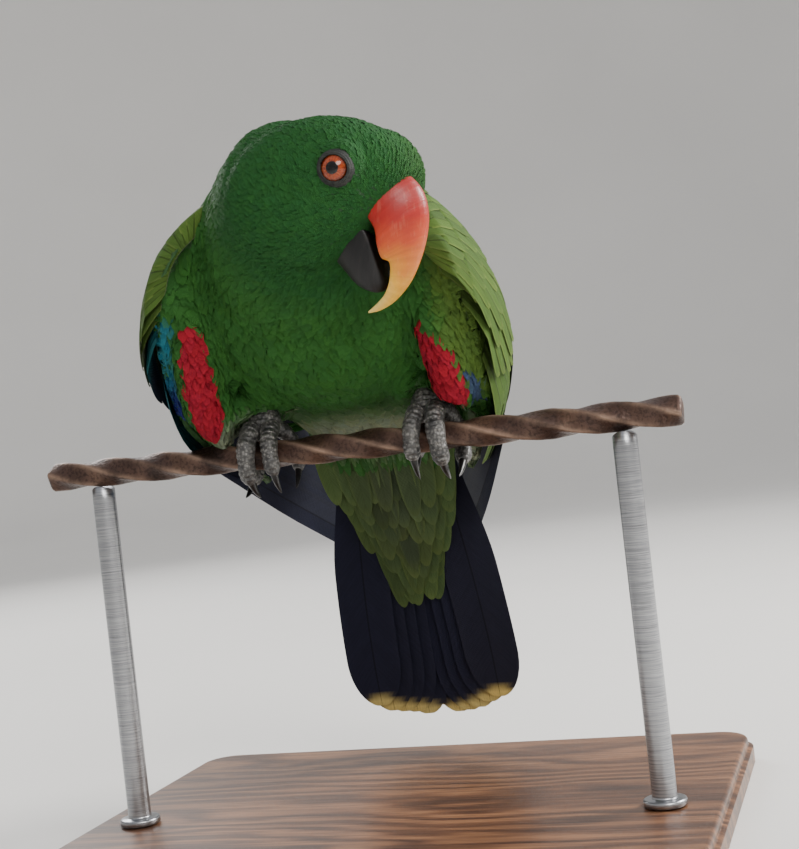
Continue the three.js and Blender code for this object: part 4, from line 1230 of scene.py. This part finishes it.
def build_eyeball(side, word, iris):
    count, sides = EYE_GRID
    polar = math.pi * (0.02 + 0.96 * np.linspace(0, 1, count) ** 1.4)
    polar, angle = np.meshgrid(polar, circle(sides), indexing="ij")
    apart = EYE["radius"] * np.sin(polar)
    cornea = CORNEA["height"] * smooth_step(CORNEA["outer"], CORNEA["inner"], apart) * (polar < 1)
    height = EYE["radius"] * np.cos(polar) + cornea
    eye = tube(f"eyeball_{word}", to_world(around_eye(side, apart, height, angle)))
    centre, *axes = eye_frame(side)
    offset = to_head(to_body(coordinates(eye.data))) - centre
    outward, across, up = (offset @ axis for axis in axes)
    add_values(eye, "gaze", np.stack([across, up, outward], axis=-1), "FLOAT_VECTOR")
    eye.data.materials.append(iris)
    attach(eye, "root")
    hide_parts(f"eye_{word}")


def build_lid(side, word, lid_skin):
    sides, profile = LID_GRID
    angle = circle(sides)
    shape = closed_curve(LID, profile)
    near = np.clip((LID_SHAPE["outer"] - shape[:, 0]) / LID_SHAPE["wide"], 0, 1)
    oval = 1 + near[None] * (LID_SHAPE["oval"] * np.cos(2 * angle) - LID_SHAPE["oval"] / 2)[:, None]
    crease = LID_SHAPE["crease"] * near[None] * np.sin(34 * angle + 2 * np.sin(3 * angle))[:, None]
    apart = shape[None, :, 0] * oval
    height = shape[None, :, 1] + crease * (shape[None, :, 1] > LID_SHAPE["creased_over"])
    points = around_eye(side, apart, height, np.broadcast_to(angle[:, None], apart.shape))
    lid = wrapped(f"lid_{word}", to_world(points))
    lid.data.materials.append(lid_skin)
    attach(lid, "root")


# A ring of ring-shaped sections, closed both ways
def wrapped(name, loops):
    loops = np.asarray(loops, float)
    count, sides = loops.shape[:2]
    i, k = np.meshgrid(np.arange(count), np.arange(sides), indexing="ij")
    after, beside = (i + 1) % count * sides, (k + 1) % sides
    quads = np.stack([i * sides + k, after + k, after + beside, i * sides + beside], axis=-1)
    return new_object(name, loops.reshape(-1, 3), quads.reshape(-1, 4))


# Legs and feet, from the bar's axis: x outwards, y back, z up
# Each toe: x offset at root and tip outwards, start and end angle round the bar, size, claw's length
TOES = {
    2: (-2.9, -4.6, 96, 222, 0.92, 8.8),
    3: (2.9, 4.6, 96, 238, 1, 9.6),
    1: (-3.3, -7.6, 78, -42, 0.82, 8),
    4: (3.3, 8.4, 78, -66, 0.95, 9.2),
}
SCUTE = 1.75  # length of a plate along the top of a toe
TOE_ENDS = {"root": (0.1, 0.6), "tip": (0.14, 0.66)}  # the share of a toe that narrows, and how much
TOE_GRID = (110, 24)
CLAW_GRID = (30, 16)


def toe_path(side, number, f):
    root, tip, start, end, size, _ = TOES[number]
    f = np.asarray(f, float)
    angle = np.radians(start + (end - start) * f)
    x = side * (FOOT["x"] + root + (tip - root) * np.sin(f * math.pi / 2))
    pad = np.abs(np.sin(3 * math.pi * f))
    radius = FOOT["toe_radius"] * size
    reach = BAR_RADIUS + GAP + radius + 0.25 + 1.6 * np.maximum(0, f - 0.55) + 0.165 * pad
    point = np.stack([x, reach * np.cos(angle), reach * np.sin(angle)], axis=-1)
    return point, radius * (1 - 0.24 * f) + 0.25 * pad


# Oval rings along a path: up faces away from what it lies on, and raised lifts parts of the surface
def limb_rings(path, up, wide, high, low, sides, raised=None):
    along = unit(np.gradient(path, axis=0))
    sideways = unit(np.cross(along, up))
    up = np.cross(sideways, along)
    angle = circle(sides, 0.5)
    swell = 0 if raised is None else raised(angle)
    across = np.cos(angle) * (wide[:, None] + swell)
    rise = np.sin(angle) * (np.where(np.sin(angle) > 0, high[:, None], low[:, None]) + swell)
    return path[:, None] + across[..., None] * sideways[:, None] + rise[..., None] * up[:, None]


# Plates along the top of a leg or toe, each a little higher at its far edge
def plates(length, height=0.28):
    def raised(angle):
        phase = (length / SCUTE)[:, None] % 1
        edge = smooth_step(0, 0.75, phase) * smooth_step(1, 0.88, phase)
        return height * (edge - 0.6) * smooth_step(-0.1, 0.5, np.sin(angle))

    return raised


def at_perch(points):
    return (np.asarray(points) + PERCH) * MM


def lengths_along(path):
    return np.append(0, np.cumsum(lengths(np.diff(path, axis=0))))


def build_toe(side, word, number, finish):
    count, sides = TOE_GRID
    f = np.linspace(0, 1, count)
    path, radius = toe_path(side, number, f)
    for length, share, place in (*TOE_ENDS["root"], f), (*TOE_ENDS["tip"], 1 - f):
        radius = radius * np.sqrt(1 - (1 - np.clip(place / length, 0, 1)) ** 2 * share)
    raised = plates(lengths_along(path))
    rings = limb_rings(path, unit(path * (0, 1, 1)), radius, radius, radius * 0.94, sides, raised)
    toe = tube(f"scaled_toe_{word}_{number}", at_perch(rings))
    toe.data.materials.append(finish)
    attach(toe, "root")
    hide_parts(f"toe_{word}_{number}")


def build_claw(side, word, number, finish):
    count, sides = CLAW_GRID
    claw_length = TOES[number][5]
    start, start_radius = toe_path(side, number, 0.93)
    along = unit(toe_path(side, number, 1)[0] - toe_path(side, number, 0.94)[0])
    outward = unit(start * (0, 1, 1))
    heading = unit(along * 0.9 + outward * 0.38)
    hook = along * 0.25 - outward * 0.55
    f = (1 - (1 - np.linspace(0, 1, count)) ** 1.3)[:, None]
    path = start + heading * claw_length * f + hook * claw_length * 0.55 * f**2
    size = np.maximum(0.1, start_radius * 0.7 * (1 - f[:, 0]) ** 0.6)
    up = unit(outward + along * f * 0.7)
    rings = limb_rings(path, up, size * 0.8, size, size * 0.92, sides)
    claw = tube(f"claw_horn_{word}_{number}", at_perch(rings))
    add_values(claw, "along", np.append(np.repeat(f[:, 0], sides), (0, 1)))
    claw.data.materials.append(finish)
    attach(claw, "root")
    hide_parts(f"claw_{word}_{number}")


def build_leg(side, word, finish):
    base = BAR_RADIUS + GAP + FOOT["toe_radius"]
    rows = [
        (side * FOOT["x"], -1.5, base - 0.4, 5.6, 3.9, 3.6),
        (side * FOOT["x"], 0.5, base + 2.6, 5.7, 4.6, 4.2),
        (side * (FOOT["x"] + 0.4), 3.5, base + 6.5, 4.6, 4.2, 4.2),
        (side * (FOOT["x"] + 1), 9, 24, 4.4, 4.3, 4.3),
    ]
    smooth = smoothed(rows, 60)
    path = smooth[:, :3]
    front = np.tile((0.0, -1.0, 0.35), (len(path), 1))
    raised = plates(lengths_along(path), 0.25)
    rings = limb_rings(path, front, smooth[:, 3], smooth[:, 4], smooth[:, 5], 28, raised)
    leg = tube(f"scaled_leg_{word}", at_perch(rings))
    leg.data.materials.append(finish)
    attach(leg, "root")
    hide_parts(f"tarsus_{word}")


def build_feet():
    scales, claws = scale_finish(), dark_horn_finish("claw_black", 0.3)
    for side, word in SIDES.items():
        build_leg(side, word, scales)
        for number in TOES:
            build_toe(side, word, number, scales)
            build_claw(side, word, number, claws)


# The bar: a square rod with eased corners, twisted along its length, its ends sawn and broken at the edge
BAR_GRID = (520, 40)
BAR_SHAPE = {"power": 6.5, "worn": 0.012, "broken": 0.12, "broken_over": 0.9}


def build_perch():
    count, sides = BAR_GRID
    x = np.linspace(-0.5, 0.5, count)[:, None] * BAR["length"]
    angle, power = circle(sides), BAR_SHAPE["power"]
    shape = BAR["side"] / 2 / (np.abs(np.cos(angle)) ** power + np.abs(np.sin(angle)) ** power) ** (1 / power)
    worn = 1 + BAR_SHAPE["worn"] * np.sin(x * 0.9 + 2 * angle) * np.sin(x * 0.23 + 1)
    broken = smooth_step(BAR_SHAPE["broken_over"], 0, BAR["length"] / 2 - np.abs(x))
    radius = shape[None] * worn * (1 - BAR_SHAPE["broken"] * broken)
    turned = angle[None] + 2 * math.pi * x / BAR["pitch"]
    rings = [np.broadcast_to(x, radius.shape), radius * np.cos(turned), radius * np.sin(turned)]
    bar = tube("twisted_bar", at_perch(np.stack(rings, axis=-1)))
    corner = (shape - shape.min()) / (shape.max() - shape.min())
    add_values(bar, "corner", np.append(np.tile(corner, count), (0, 0)))
    bar.data.materials.append(iron_finish())
    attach(bar, "root")
    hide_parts("perch")


# The stand: a walnut base with a small step round its edge (inset and height), and two steel rods with a
# collar at the foot (height and radius) and a notch for the bar (inset and drop of the rod's rim)
BASE_EDGE = [
    (0.9, 0), (0.25, 0.3), (0, 1), (0, 5.8), (0.2, 6.4), (0.8, 6.7), (1.5, 6.9), (1.75, 7.3), (1.8, 8.4),
    (2.1, 9.3), (2.8, 9.85), (4, 10),
]
COLLAR = [(0, 6.6), (0.25, 7), (1.6, 7), (2.1, 6.8), (2.35, 6.3), (2.4, 4.4), (2.7, 4.05), (3.2, 4)]
NOTCH_RIM = [(0, 0.5), (0.35, 0.1), (0.9, 0)]
BASE_CORNER_POINTS = 16
ROD_SIDES = 48


def base_outline(inset):
    x, y, r = BASE["x"] / 2, BASE["y"] / 2, BASE["corner"]
    middles = [(x - r, y - r), (r - x, y - r), (r - x, r - y), (x - r, r - y)]
    points = []
    for quarter, (mx, my) in enumerate(middles):
        angle = math.pi / 2 * (quarter + np.linspace(0, 1, BASE_CORNER_POINTS))
        points.append(np.stack([mx + (r - inset) * np.cos(angle), my + (r - inset) * np.sin(angle)], axis=-1))
    return np.vstack(points)


def level_ring(outline, z):
    return np.column_stack([outline, np.full(len(outline), z)])


def rod_rings():
    notch, foot = BAR_RADIUS + GAP + 0.2, BASE["z"] + GAP
    angle = circle(ROD_SIDES)
    spokes = np.stack([np.cos(angle), np.sin(angle)], axis=-1)
    levels = [(foot + rise, radius) for rise, radius in COLLAR]
    levels += [(z, ROD["radius"]) for z in np.linspace(foot + 8, PERCH[2] - notch - 4, 12)]
    rings = [level_ring(radius * spokes, z) for z, radius in levels]
    for inset, drop in NOTCH_RIM:
        rim = (ROD["radius"] - inset) * spokes
        rings.append(np.column_stack([rim, PERCH[2] - np.sqrt(notch**2 - rim[:, 1] ** 2) - drop]))
    return np.array(rings)


def build_stand():
    profile = np.clip(smoothed(BASE_EDGE, 56), 0, BASE["z"])
    rings = [level_ring(base_outline(inset), z) for inset, z in profile]
    base = tube("walnut_base", np.array(rings) * MM)
    base.data.materials.append(wood_finish())
    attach(base, "root")
    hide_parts("stand_base")
    steel = steel_finish()
    for side, word in SIDES.items():
        rod = tube(f"steel_rod_{word}", (rod_rings() + (side * ROD["x"], PERCH[1], 0)) * MM)
        rod.data.materials.append(steel)
        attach(rod, "root")
        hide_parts(f"stand_rod_{word}")


# A value from a node, to reckon with
class Signal:
    def __init__(self, finish, socket):
        self.finish, self.socket = finish, socket

    def __add__(self, other):
        return self.finish.maths("ADD", self, other)

    def __sub__(self, other):
        return self.finish.maths("SUBTRACT", self, other)

    def __rsub__(self, other):
        return self.finish.maths("SUBTRACT", other, self)

    def __mul__(self, other):
        return self.finish.maths("MULTIPLY", self, other)

    def __truediv__(self, other):
        return self.finish.maths("DIVIDE", self, other)

    def __pow__(self, other):
        return self.finish.maths("POWER", self, other)


# A procedural material, put together from nodes around one shader
class Finish:
    def __init__(self, name, **settings):
        self.material = bpy.data.materials.new(name)
        self.material.use_nodes = True
        self.tree = self.material.node_tree
        self.tree.nodes.clear()
        self.shader = self.tree.nodes.new("ShaderNodeBsdfPrincipled")
        end = self.tree.nodes.new("ShaderNodeOutputMaterial")
        self.tree.links.new(self.shader.outputs[0], end.inputs[0])
        self.place = self.node("TexCoord", "Object")
        for setting, value in settings.items():
            self.set(setting.replace("_", " "), value)

    def feed(self, socket, value):
        if isinstance(value, Signal):
            self.tree.links.new(value.socket, socket)
        elif isinstance(value, (int, float)):
            socket.default_value = value
        else:
            socket.default_value = (*value, 1)[: len(socket.default_value)]

    # The output of a new node with these settings and inputs, given by name or number
    def node(self, kind, output, inputs=(), **settings):
        node = self.tree.nodes.new(f"ShaderNode{kind}")
        for setting, value in settings.items():
            setattr(node, setting, value)
        for socket, value in dict(inputs).items():
            self.feed(node.inputs[socket], value)
        return Signal(self, node.outputs[output])

    # An input of the shader
    def set(self, name, value):
        self.feed(self.shader.inputs[name], value)

    def maths(self, operation, *inputs):
        return self.node("Math", 0, enumerate(inputs), operation=operation)

    def attribute(self, name, output="Fac"):
        return self.node("Attribute", output, attribute_name=name)

    def parts(self, vector):
        node = self.node("SeparateXYZ", 0, {0: vector}).socket.node
        return [Signal(self, output) for output in node.outputs]

    def joined(self, *parts):
        return self.node("CombineXYZ", 0, enumerate(parts))

    def scaled(self, scale):
        return self.node("VectorMath", 0, {0: self.place, 1: scale}, operation="MULTIPLY")

    def noise(self, scale, detail=3, place=None):
        return self.node("TexNoise", "Fac", {"Vector": place or self.place, "Scale": scale, "Detail": detail})

    def cells(self, scale):
        return self.node("TexVoronoi", "Distance", {"Vector": self.place, "Scale": scale})

    def ramp(self, factor, *stops):
        ramp = self.node("ValToRGB", 0, {0: factor})
        elements = ramp.socket.node.color_ramp.elements
        while len(elements) < len(stops):
            elements.new(1)
        for element, (place, colour) in zip(elements, stops):
            element.position = place
            element.color = (*colour, 1) if hasattr(colour, "__len__") else (colour, colour, colour, 1)
        return ramp

    # A ramp whose stops are each a place, then red, green and blue as screen values
    def tints(self, factor, *stops):
        return self.ramp(factor, *((place, screen(*colour)) for place, *colour in stops))

    # Other mixed over a colour, or multiplied into it, by a share
    def mix(self, kind, share, colour, other):
        return self.node("Mix", 2, {0: share, 6: colour, 7: other}, data_type="RGBA", blend_type=kind)

    def over(self, share, colour, other):
        return self.mix("MIX", share, colour, other)

    def times(self, share, colour, other):
        return self.mix("MULTIPLY", share, colour, other)

    def done(self, colour, height, distance, strength):
        self.set("Base Color", colour)
        inputs = {"Strength": strength, "Distance": distance, "Height": height}
        self.set("Normal", self.node("Bump", 0, inputs))
        return self.material


# Feathers: the plumage's colour, darker and greyer at the root (partly grey bases, partly painted shade under
# the overlapping feathers) and paler along the fringe, with fine barbs that slant from the shaft
def feather_finish():
    finish = Finish("plumage", Roughness=0.72, Specular_IOR_Level=0.16)
    coat = finish.attribute("coat", "Color")
    u, v, luck = finish.parts(finish.attribute("vane", "Vector"))
    half, length, shafted = finish.parts(finish.attribute("size", "Vector"))
    across = finish.maths("ABSOLUTE", u)
    side = across * half
    barb = v * length - side * 0.9
    wave = finish.maths("SINE", barb * (2 * math.pi / BARB["apart"]))
    strand = finish.noise(1, 2, finish.joined(barb * 1.6, side * 0.12, luck))
    rim = finish.maths("MAXIMUM", across, v**3)
    colour = finish.over(rim**5 * BARB["fringe"], coat, finish.times(1, coat, (1.5, 1.42, 1.3)))
    tone = finish.ramp(luck, (0, (0.86, 0.9, 1)), (0.5, 1), (1, (1.06, 1, 0.86)))
    colour = finish.times(0.8, colour, tone)
    colour = finish.times(0.7, colour, finish.ramp(strand, (0.3, 0.72), (0.7, 1)))
    # Darker, greyer roots: partly grey feather bases, partly painted shade under the overlapping feathers
    colour = finish.times((1 - v) ** 2.2 * BARB["root"], colour, (0.35, 0.38, 0.38))
    colour = finish.times(finish.maths("MULTIPLY_ADD", wave, 0.08, 0.1), colour, (0.3, 0.3, 0.3))
    colour = finish.times(shafted * finish.ramp(side, (0.16, 0.7), (0.4, 0)), colour, (0.3, 0.26, 0.24))
    return finish.done(colour, wave + strand, 0.0002, 0.5)


def skin_finish():
    finish = Finish("skin", Roughness=0.8)
    colour = finish.times(finish.noise(900), finish.attribute("coat", "Color"), (0.4, 0.4, 0.4))
    return finish.done(colour, finish.noise(1400), 0.0003, 0.6)


# Upper bill: coral at the root, orange down to a pale yellow tip, in thin worn layers of horn
def horn_finish():
    finish = Finish("bill_coral", Roughness=0.44, Subsurface_Weight=0.12, Subsurface_Scale=0.003,
                    Coat_Weight=0.07)
    along = finish.attribute("along")
    patch = finish.noise(160, 4)
    low = (1 - finish.attribute("rise")) ** 2
    place = finish.maths("MULTIPLY_ADD", patch - 0.5, 0.16, along)
    tints = (
        (0, 134, 6, 3), (0.32, 162, 18, 6), (0.46, 186, 60, 6), (0.6, 204, 116, 8), (0.74, 222, 164, 30),
        (1, 238, 212, 116),
    )
    colour = finish.tints(finish.maths("MULTIPLY_ADD", low, 0.14, place), *tints)
    layers = finish.noise(1.5, 4, finish.joined(along * 26, finish.noise(60, 2), 0))
    scratches = finish.noise(1, 3, finish.scaled((900, 900, 160)))
    colour = finish.times(0.55, colour, finish.ramp(layers, (0.3, (0.72, 0.66, 0.6)), (0.62, 1)))
    chalk = finish.ramp(scratches, (0.56, 0), (0.8, 1))
    colour = finish.over(chalk * 0.08, colour, screen(250, 220, 180))
    return finish.done(colour, layers + scratches * 0.3, 0.00035, 0.6)


def dark_horn_finish(name, roughness):
    finish = Finish(name, Roughness=roughness, Specular_IOR_Level=0.35, Coat_Weight=0.05)
    along = finish.attribute("along")
    streaks = finish.noise(1, 4, finish.joined(along * 14, finish.noise(220, 2), 0))
    colour = finish.tints(streaks, (0.3, 10, 10, 12), (0.6, 22, 21, 22), (0.85, 48, 45, 42))
    colour = finish.over(finish.ramp(along, (0, 0.4), (0.25, 0)), colour, screen(60, 57, 52))
    return finish.done(colour, streaks, 0.0002, 0.5)


# Eye: a black pupil, an iris of orange-brown fibres with a dark rim, under a clear wet surface
def eye_finish():
    finish = Finish("eye", Roughness=0.3, Specular_IOR_Level=0.1, Coat_Weight=0.8, Coat_Roughness=0.02)
    across, up, _ = finish.parts(finish.attribute("gaze", "Vector"))
    apart = finish.maths("SQRT", across * across + up * up)
    angle = finish.maths("ARCTAN2", up, across)
    fibres = finish.noise(1, 3, finish.joined(angle * 9, apart * 0.7, 0))
    iris = finish.tints(fibres, (0.25, 80, 24, 6), (0.5, 146, 52, 10), (0.8, 192, 96, 24))
    rings = ((0.34, 0), (0.375, 0.85), (0.56, 1), (0.68, 0.45), (0.76, 0.12), (0.9, 0.1))
    finish.set("Base Color", finish.times(1, iris, finish.ramp(apart / EYE["radius"], *rings)))
    return finish.material


def lid_finish():
    finish = Finish("lid_skin", Roughness=0.66, Specular_IOR_Level=0.3)
    grain = finish.cells(2600)
    colour = finish.tints(finish.noise(500), (0.3, 28, 30, 30), (0.7, 52, 54, 50))
    colour = finish.times(0.5, colour, finish.ramp(grain, (0.1, 0.45), (0.6, 1)))
    return finish.done(colour, grain, 0.00012, 0.7)


# Feet: grey scales with pale edges, darker between them
def scale_finish():
    finish = Finish("foot_scales", Roughness=0.46, Coat_Weight=0.2, Coat_Roughness=0.2)
    scales = finish.cells(900)
    colour = finish.tints(finish.noise(260, 4), (0.3, 52, 52, 54), (0.7, 124, 122, 118))
    colour = finish.times(0.9, colour, finish.ramp(scales, (0.22, 1), (0.6, 0.22)))
    edges = finish.ramp(finish.noise(1100), (0.6, 0), (0.78, 0.6))
    return finish.done(finish.over(edges, colour, screen(176, 172, 162)), 1 - scales, 0.0004, 0.7)


# Bar: old brown iron, its corners rubbed brighter and its flats pitted
def iron_finish():
    finish = Finish("iron_bar", Metallic=0.55)
    corner = finish.attribute("corner")
    pits, tone = finish.noise(900, 5), finish.noise(90, 4)
    colour = finish.tints(tone, (0.3, 52, 38, 33), (0.5, 74, 54, 46), (0.72, 98, 74, 60))
    colour = finish.times(0.7, colour, finish.ramp(pits, (0.38, 0.4), (0.52, 1)))
    rubbed = corner**3 * finish.ramp(tone, (0.4, 0.2), (0.6, 1))
    colour = finish.over(rubbed, colour, screen(150, 124, 106))
    finish.set("Roughness", finish.ramp(pits, (0.3, 0.62), (0.6, 0.4)))
    return finish.done(colour, pits + tone, 0.0004, 0.6)


def steel_finish():
    finish = Finish("brushed_steel", Metallic=1)
    brush = finish.noise(1, 4, finish.scaled((90, 90, 5200)))
    colour = finish.tints(brush, (0.3, 128, 130, 134), (0.7, 186, 187, 190))
    finish.set("Roughness", finish.ramp(brush, (0.2, 0.24), (0.8, 0.42)))
    return finish.done(colour, brush, 0.00006, 0.5)


# Base: oiled walnut, its grain along x, with rings, pores and darker streaks
def wood_finish():
    finish = Finish("walnut", Roughness=0.38, Coat_Weight=0.15, Coat_Roughness=0.25)
    sway = finish.noise(6, 3, finish.scaled((1, 4, 4)))
    _, y, z = finish.parts(finish.place)
    level = finish.maths("MULTIPLY_ADD", sway, 0.09, y + z * 0.6)
    rings = finish.maths("SINE", level * 520)
    grain = finish.noise(1, 5, finish.scaled((22, 900, 900)))
    pores = finish.noise(1, 2, finish.scaled((120, 3000, 3000)))
    tone = finish.maths("MULTIPLY_ADD", rings, 0.16, grain)
    colour = finish.tints(tone, (0.25, 58, 36, 24), (0.5, 98, 64, 42), (0.8, 142, 100, 68))
    colour = finish.times(0.6, colour, finish.ramp(pores, (0.34, 0.35), (0.44, 1)))
    return finish.done(colour, grain + pores, 0.00012, 0.4)


# The stage: pale floor, soft studio light and the camera of the photograph
CAMERA = {"azimuth": 17, "roll": 6.4, "distance": 520.0, "lens": 66.15, "aim": (16.93, -18.82, 139.2)}
LIT = (0, 0, 0.16)  # what the lights point at
LIGHTS = {  # place, size, power and colour
    "key": ((0.7, -0.85, 0.9), 0.7, 12, (1, 0.97, 0.93)),
    "rim": ((0.95, 0.45, 0.75), 0.5, 24, (1, 0.98, 0.95)),
    "back": ((-0.8, 0.75, 0.75), 0.6, 8, (1, 1, 1)),
}
WORLD = {"Color": (0.93, 0.95, 1, 1), "Strength": 0.65}
FLOOR = [(0, 0.4), (0, 1.2), (0, 2.0), (0.12, 2.5), (0.5, 2.9), (1.1, 3.1), (2.2, 3.15)]  # height and radius
FLOOR_GRID = (40, 96)


def set_camera():
    angle, roll = math.radians(CAMERA["azimuth"]), math.radians(CAMERA["roll"])
    right = Vector((math.cos(angle), math.sin(angle), 0))
    forward = Vector((-math.sin(angle), math.cos(angle), 0))
    up = Vector((0, 0, 1))
    across = right * math.cos(roll) - up * math.sin(roll)
    tilted = Matrix((across, up * math.cos(roll) + right * math.sin(roll), -forward)).transposed()
    data = bpy.data.cameras.new("camera")
    data.sensor_fit = "VERTICAL"
    data.sensor_height = 36
    data.lens = CAMERA["lens"]
    data.clip_start = 0.02
    camera = bpy.data.objects.new("camera", data)
    place = (Vector(CAMERA["aim"]) - forward * CAMERA["distance"]) * MM
    camera.matrix_world = Matrix.Translation(place) @ tilted.to_4x4()
    bpy.context.scene.collection.objects.link(camera)
    bpy.context.scene.camera = camera


def area_light(name, place, size, power, colour):
    data = bpy.data.lights.new(name, "AREA")
    data.shape = "DISK"
    data.size = size
    data.energy = power
    data.color = colour
    light = bpy.data.objects.new(name, data)
    direction = Vector(LIT) - Vector(place)
    light.matrix_world = Matrix.Translation(place) @ direction.to_track_quat("-Z", "Y").to_matrix().to_4x4()
    bpy.context.scene.collection.objects.link(light)


# A pale floor that rises in a wide curve all round, its lowest ring closed by a fan and its top open
def set_stage():
    count, sides = FLOOR_GRID
    angle = circle(sides)
    outline = np.stack([np.cos(angle), np.sin(angle)], axis=-1)
    rings = [level_ring(radius * outline, z) for z, radius in smoothed(FLOOR, count)]
    floor = new_object("floor", np.vstack([*rings, [(0, 0, 0)]]), tube_faces(count, sides)[:-sides])
    finish = Finish("floor_paper", Roughness=0.75)
    finish.set("Base Color", finish.over(finish.noise(3), screen(222, 220, 216), screen(232, 230, 226)))
    floor.data.materials.append(finish.material)
    world = bpy.data.worlds.new("studio")
    bpy.context.scene.world = world
    world.use_nodes = True
    for name, value in WORLD.items():
        world.node_tree.nodes["Background"].inputs[name].default_value = value
    for name, settings in LIGHTS.items():
        area_light(name, *settings)


# The whole: the skin with its own colours, the coat part by part, then all that isn't skin
SKIN_SHADE = 0.7
RED_EDGE = (-0.1, 0.1)

skin = build_skin()
unwrap(skin)
add_values(skin, "outward", point_normals(skin.data), "FLOAT_VECTOR")
skin_body = to_body(coordinates(skin.data))
red_share = smooth_step(*RED_EDGE, patches_share(skin_body, RED_PATCHES))
add_colour(skin, "coat", blend_colours(plumage(skin_body), RED, red_share) * SKIN_SHADE)
skin.data.materials.append(skin_finish())
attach(skin, "root")
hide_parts(*FLESH)

plumage_material = feather_finish()
roots = scatter(skin)
for number, name in enumerate(REGIONS):
    chosen = roots["region"] == number
    part = {key: values[chosen] for key, values in roots.items()}
    feathers = contour_feathers(f"coat_{name}", skin, part, *COAT[name][3:])
    feathers.data.materials.append(plumage_material)
    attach(feathers, "root")

build_wings()
build_tail()
build_undertail()
build_bill()
iris, lid_skin = eye_finish(), lid_finish()
for side, word in SIDES.items():
    build_eyeball(side, word, iris)
    build_lid(side, word, lid_skin)
build_feet()
build_perch()
build_stand()
set_camera()
set_stage()
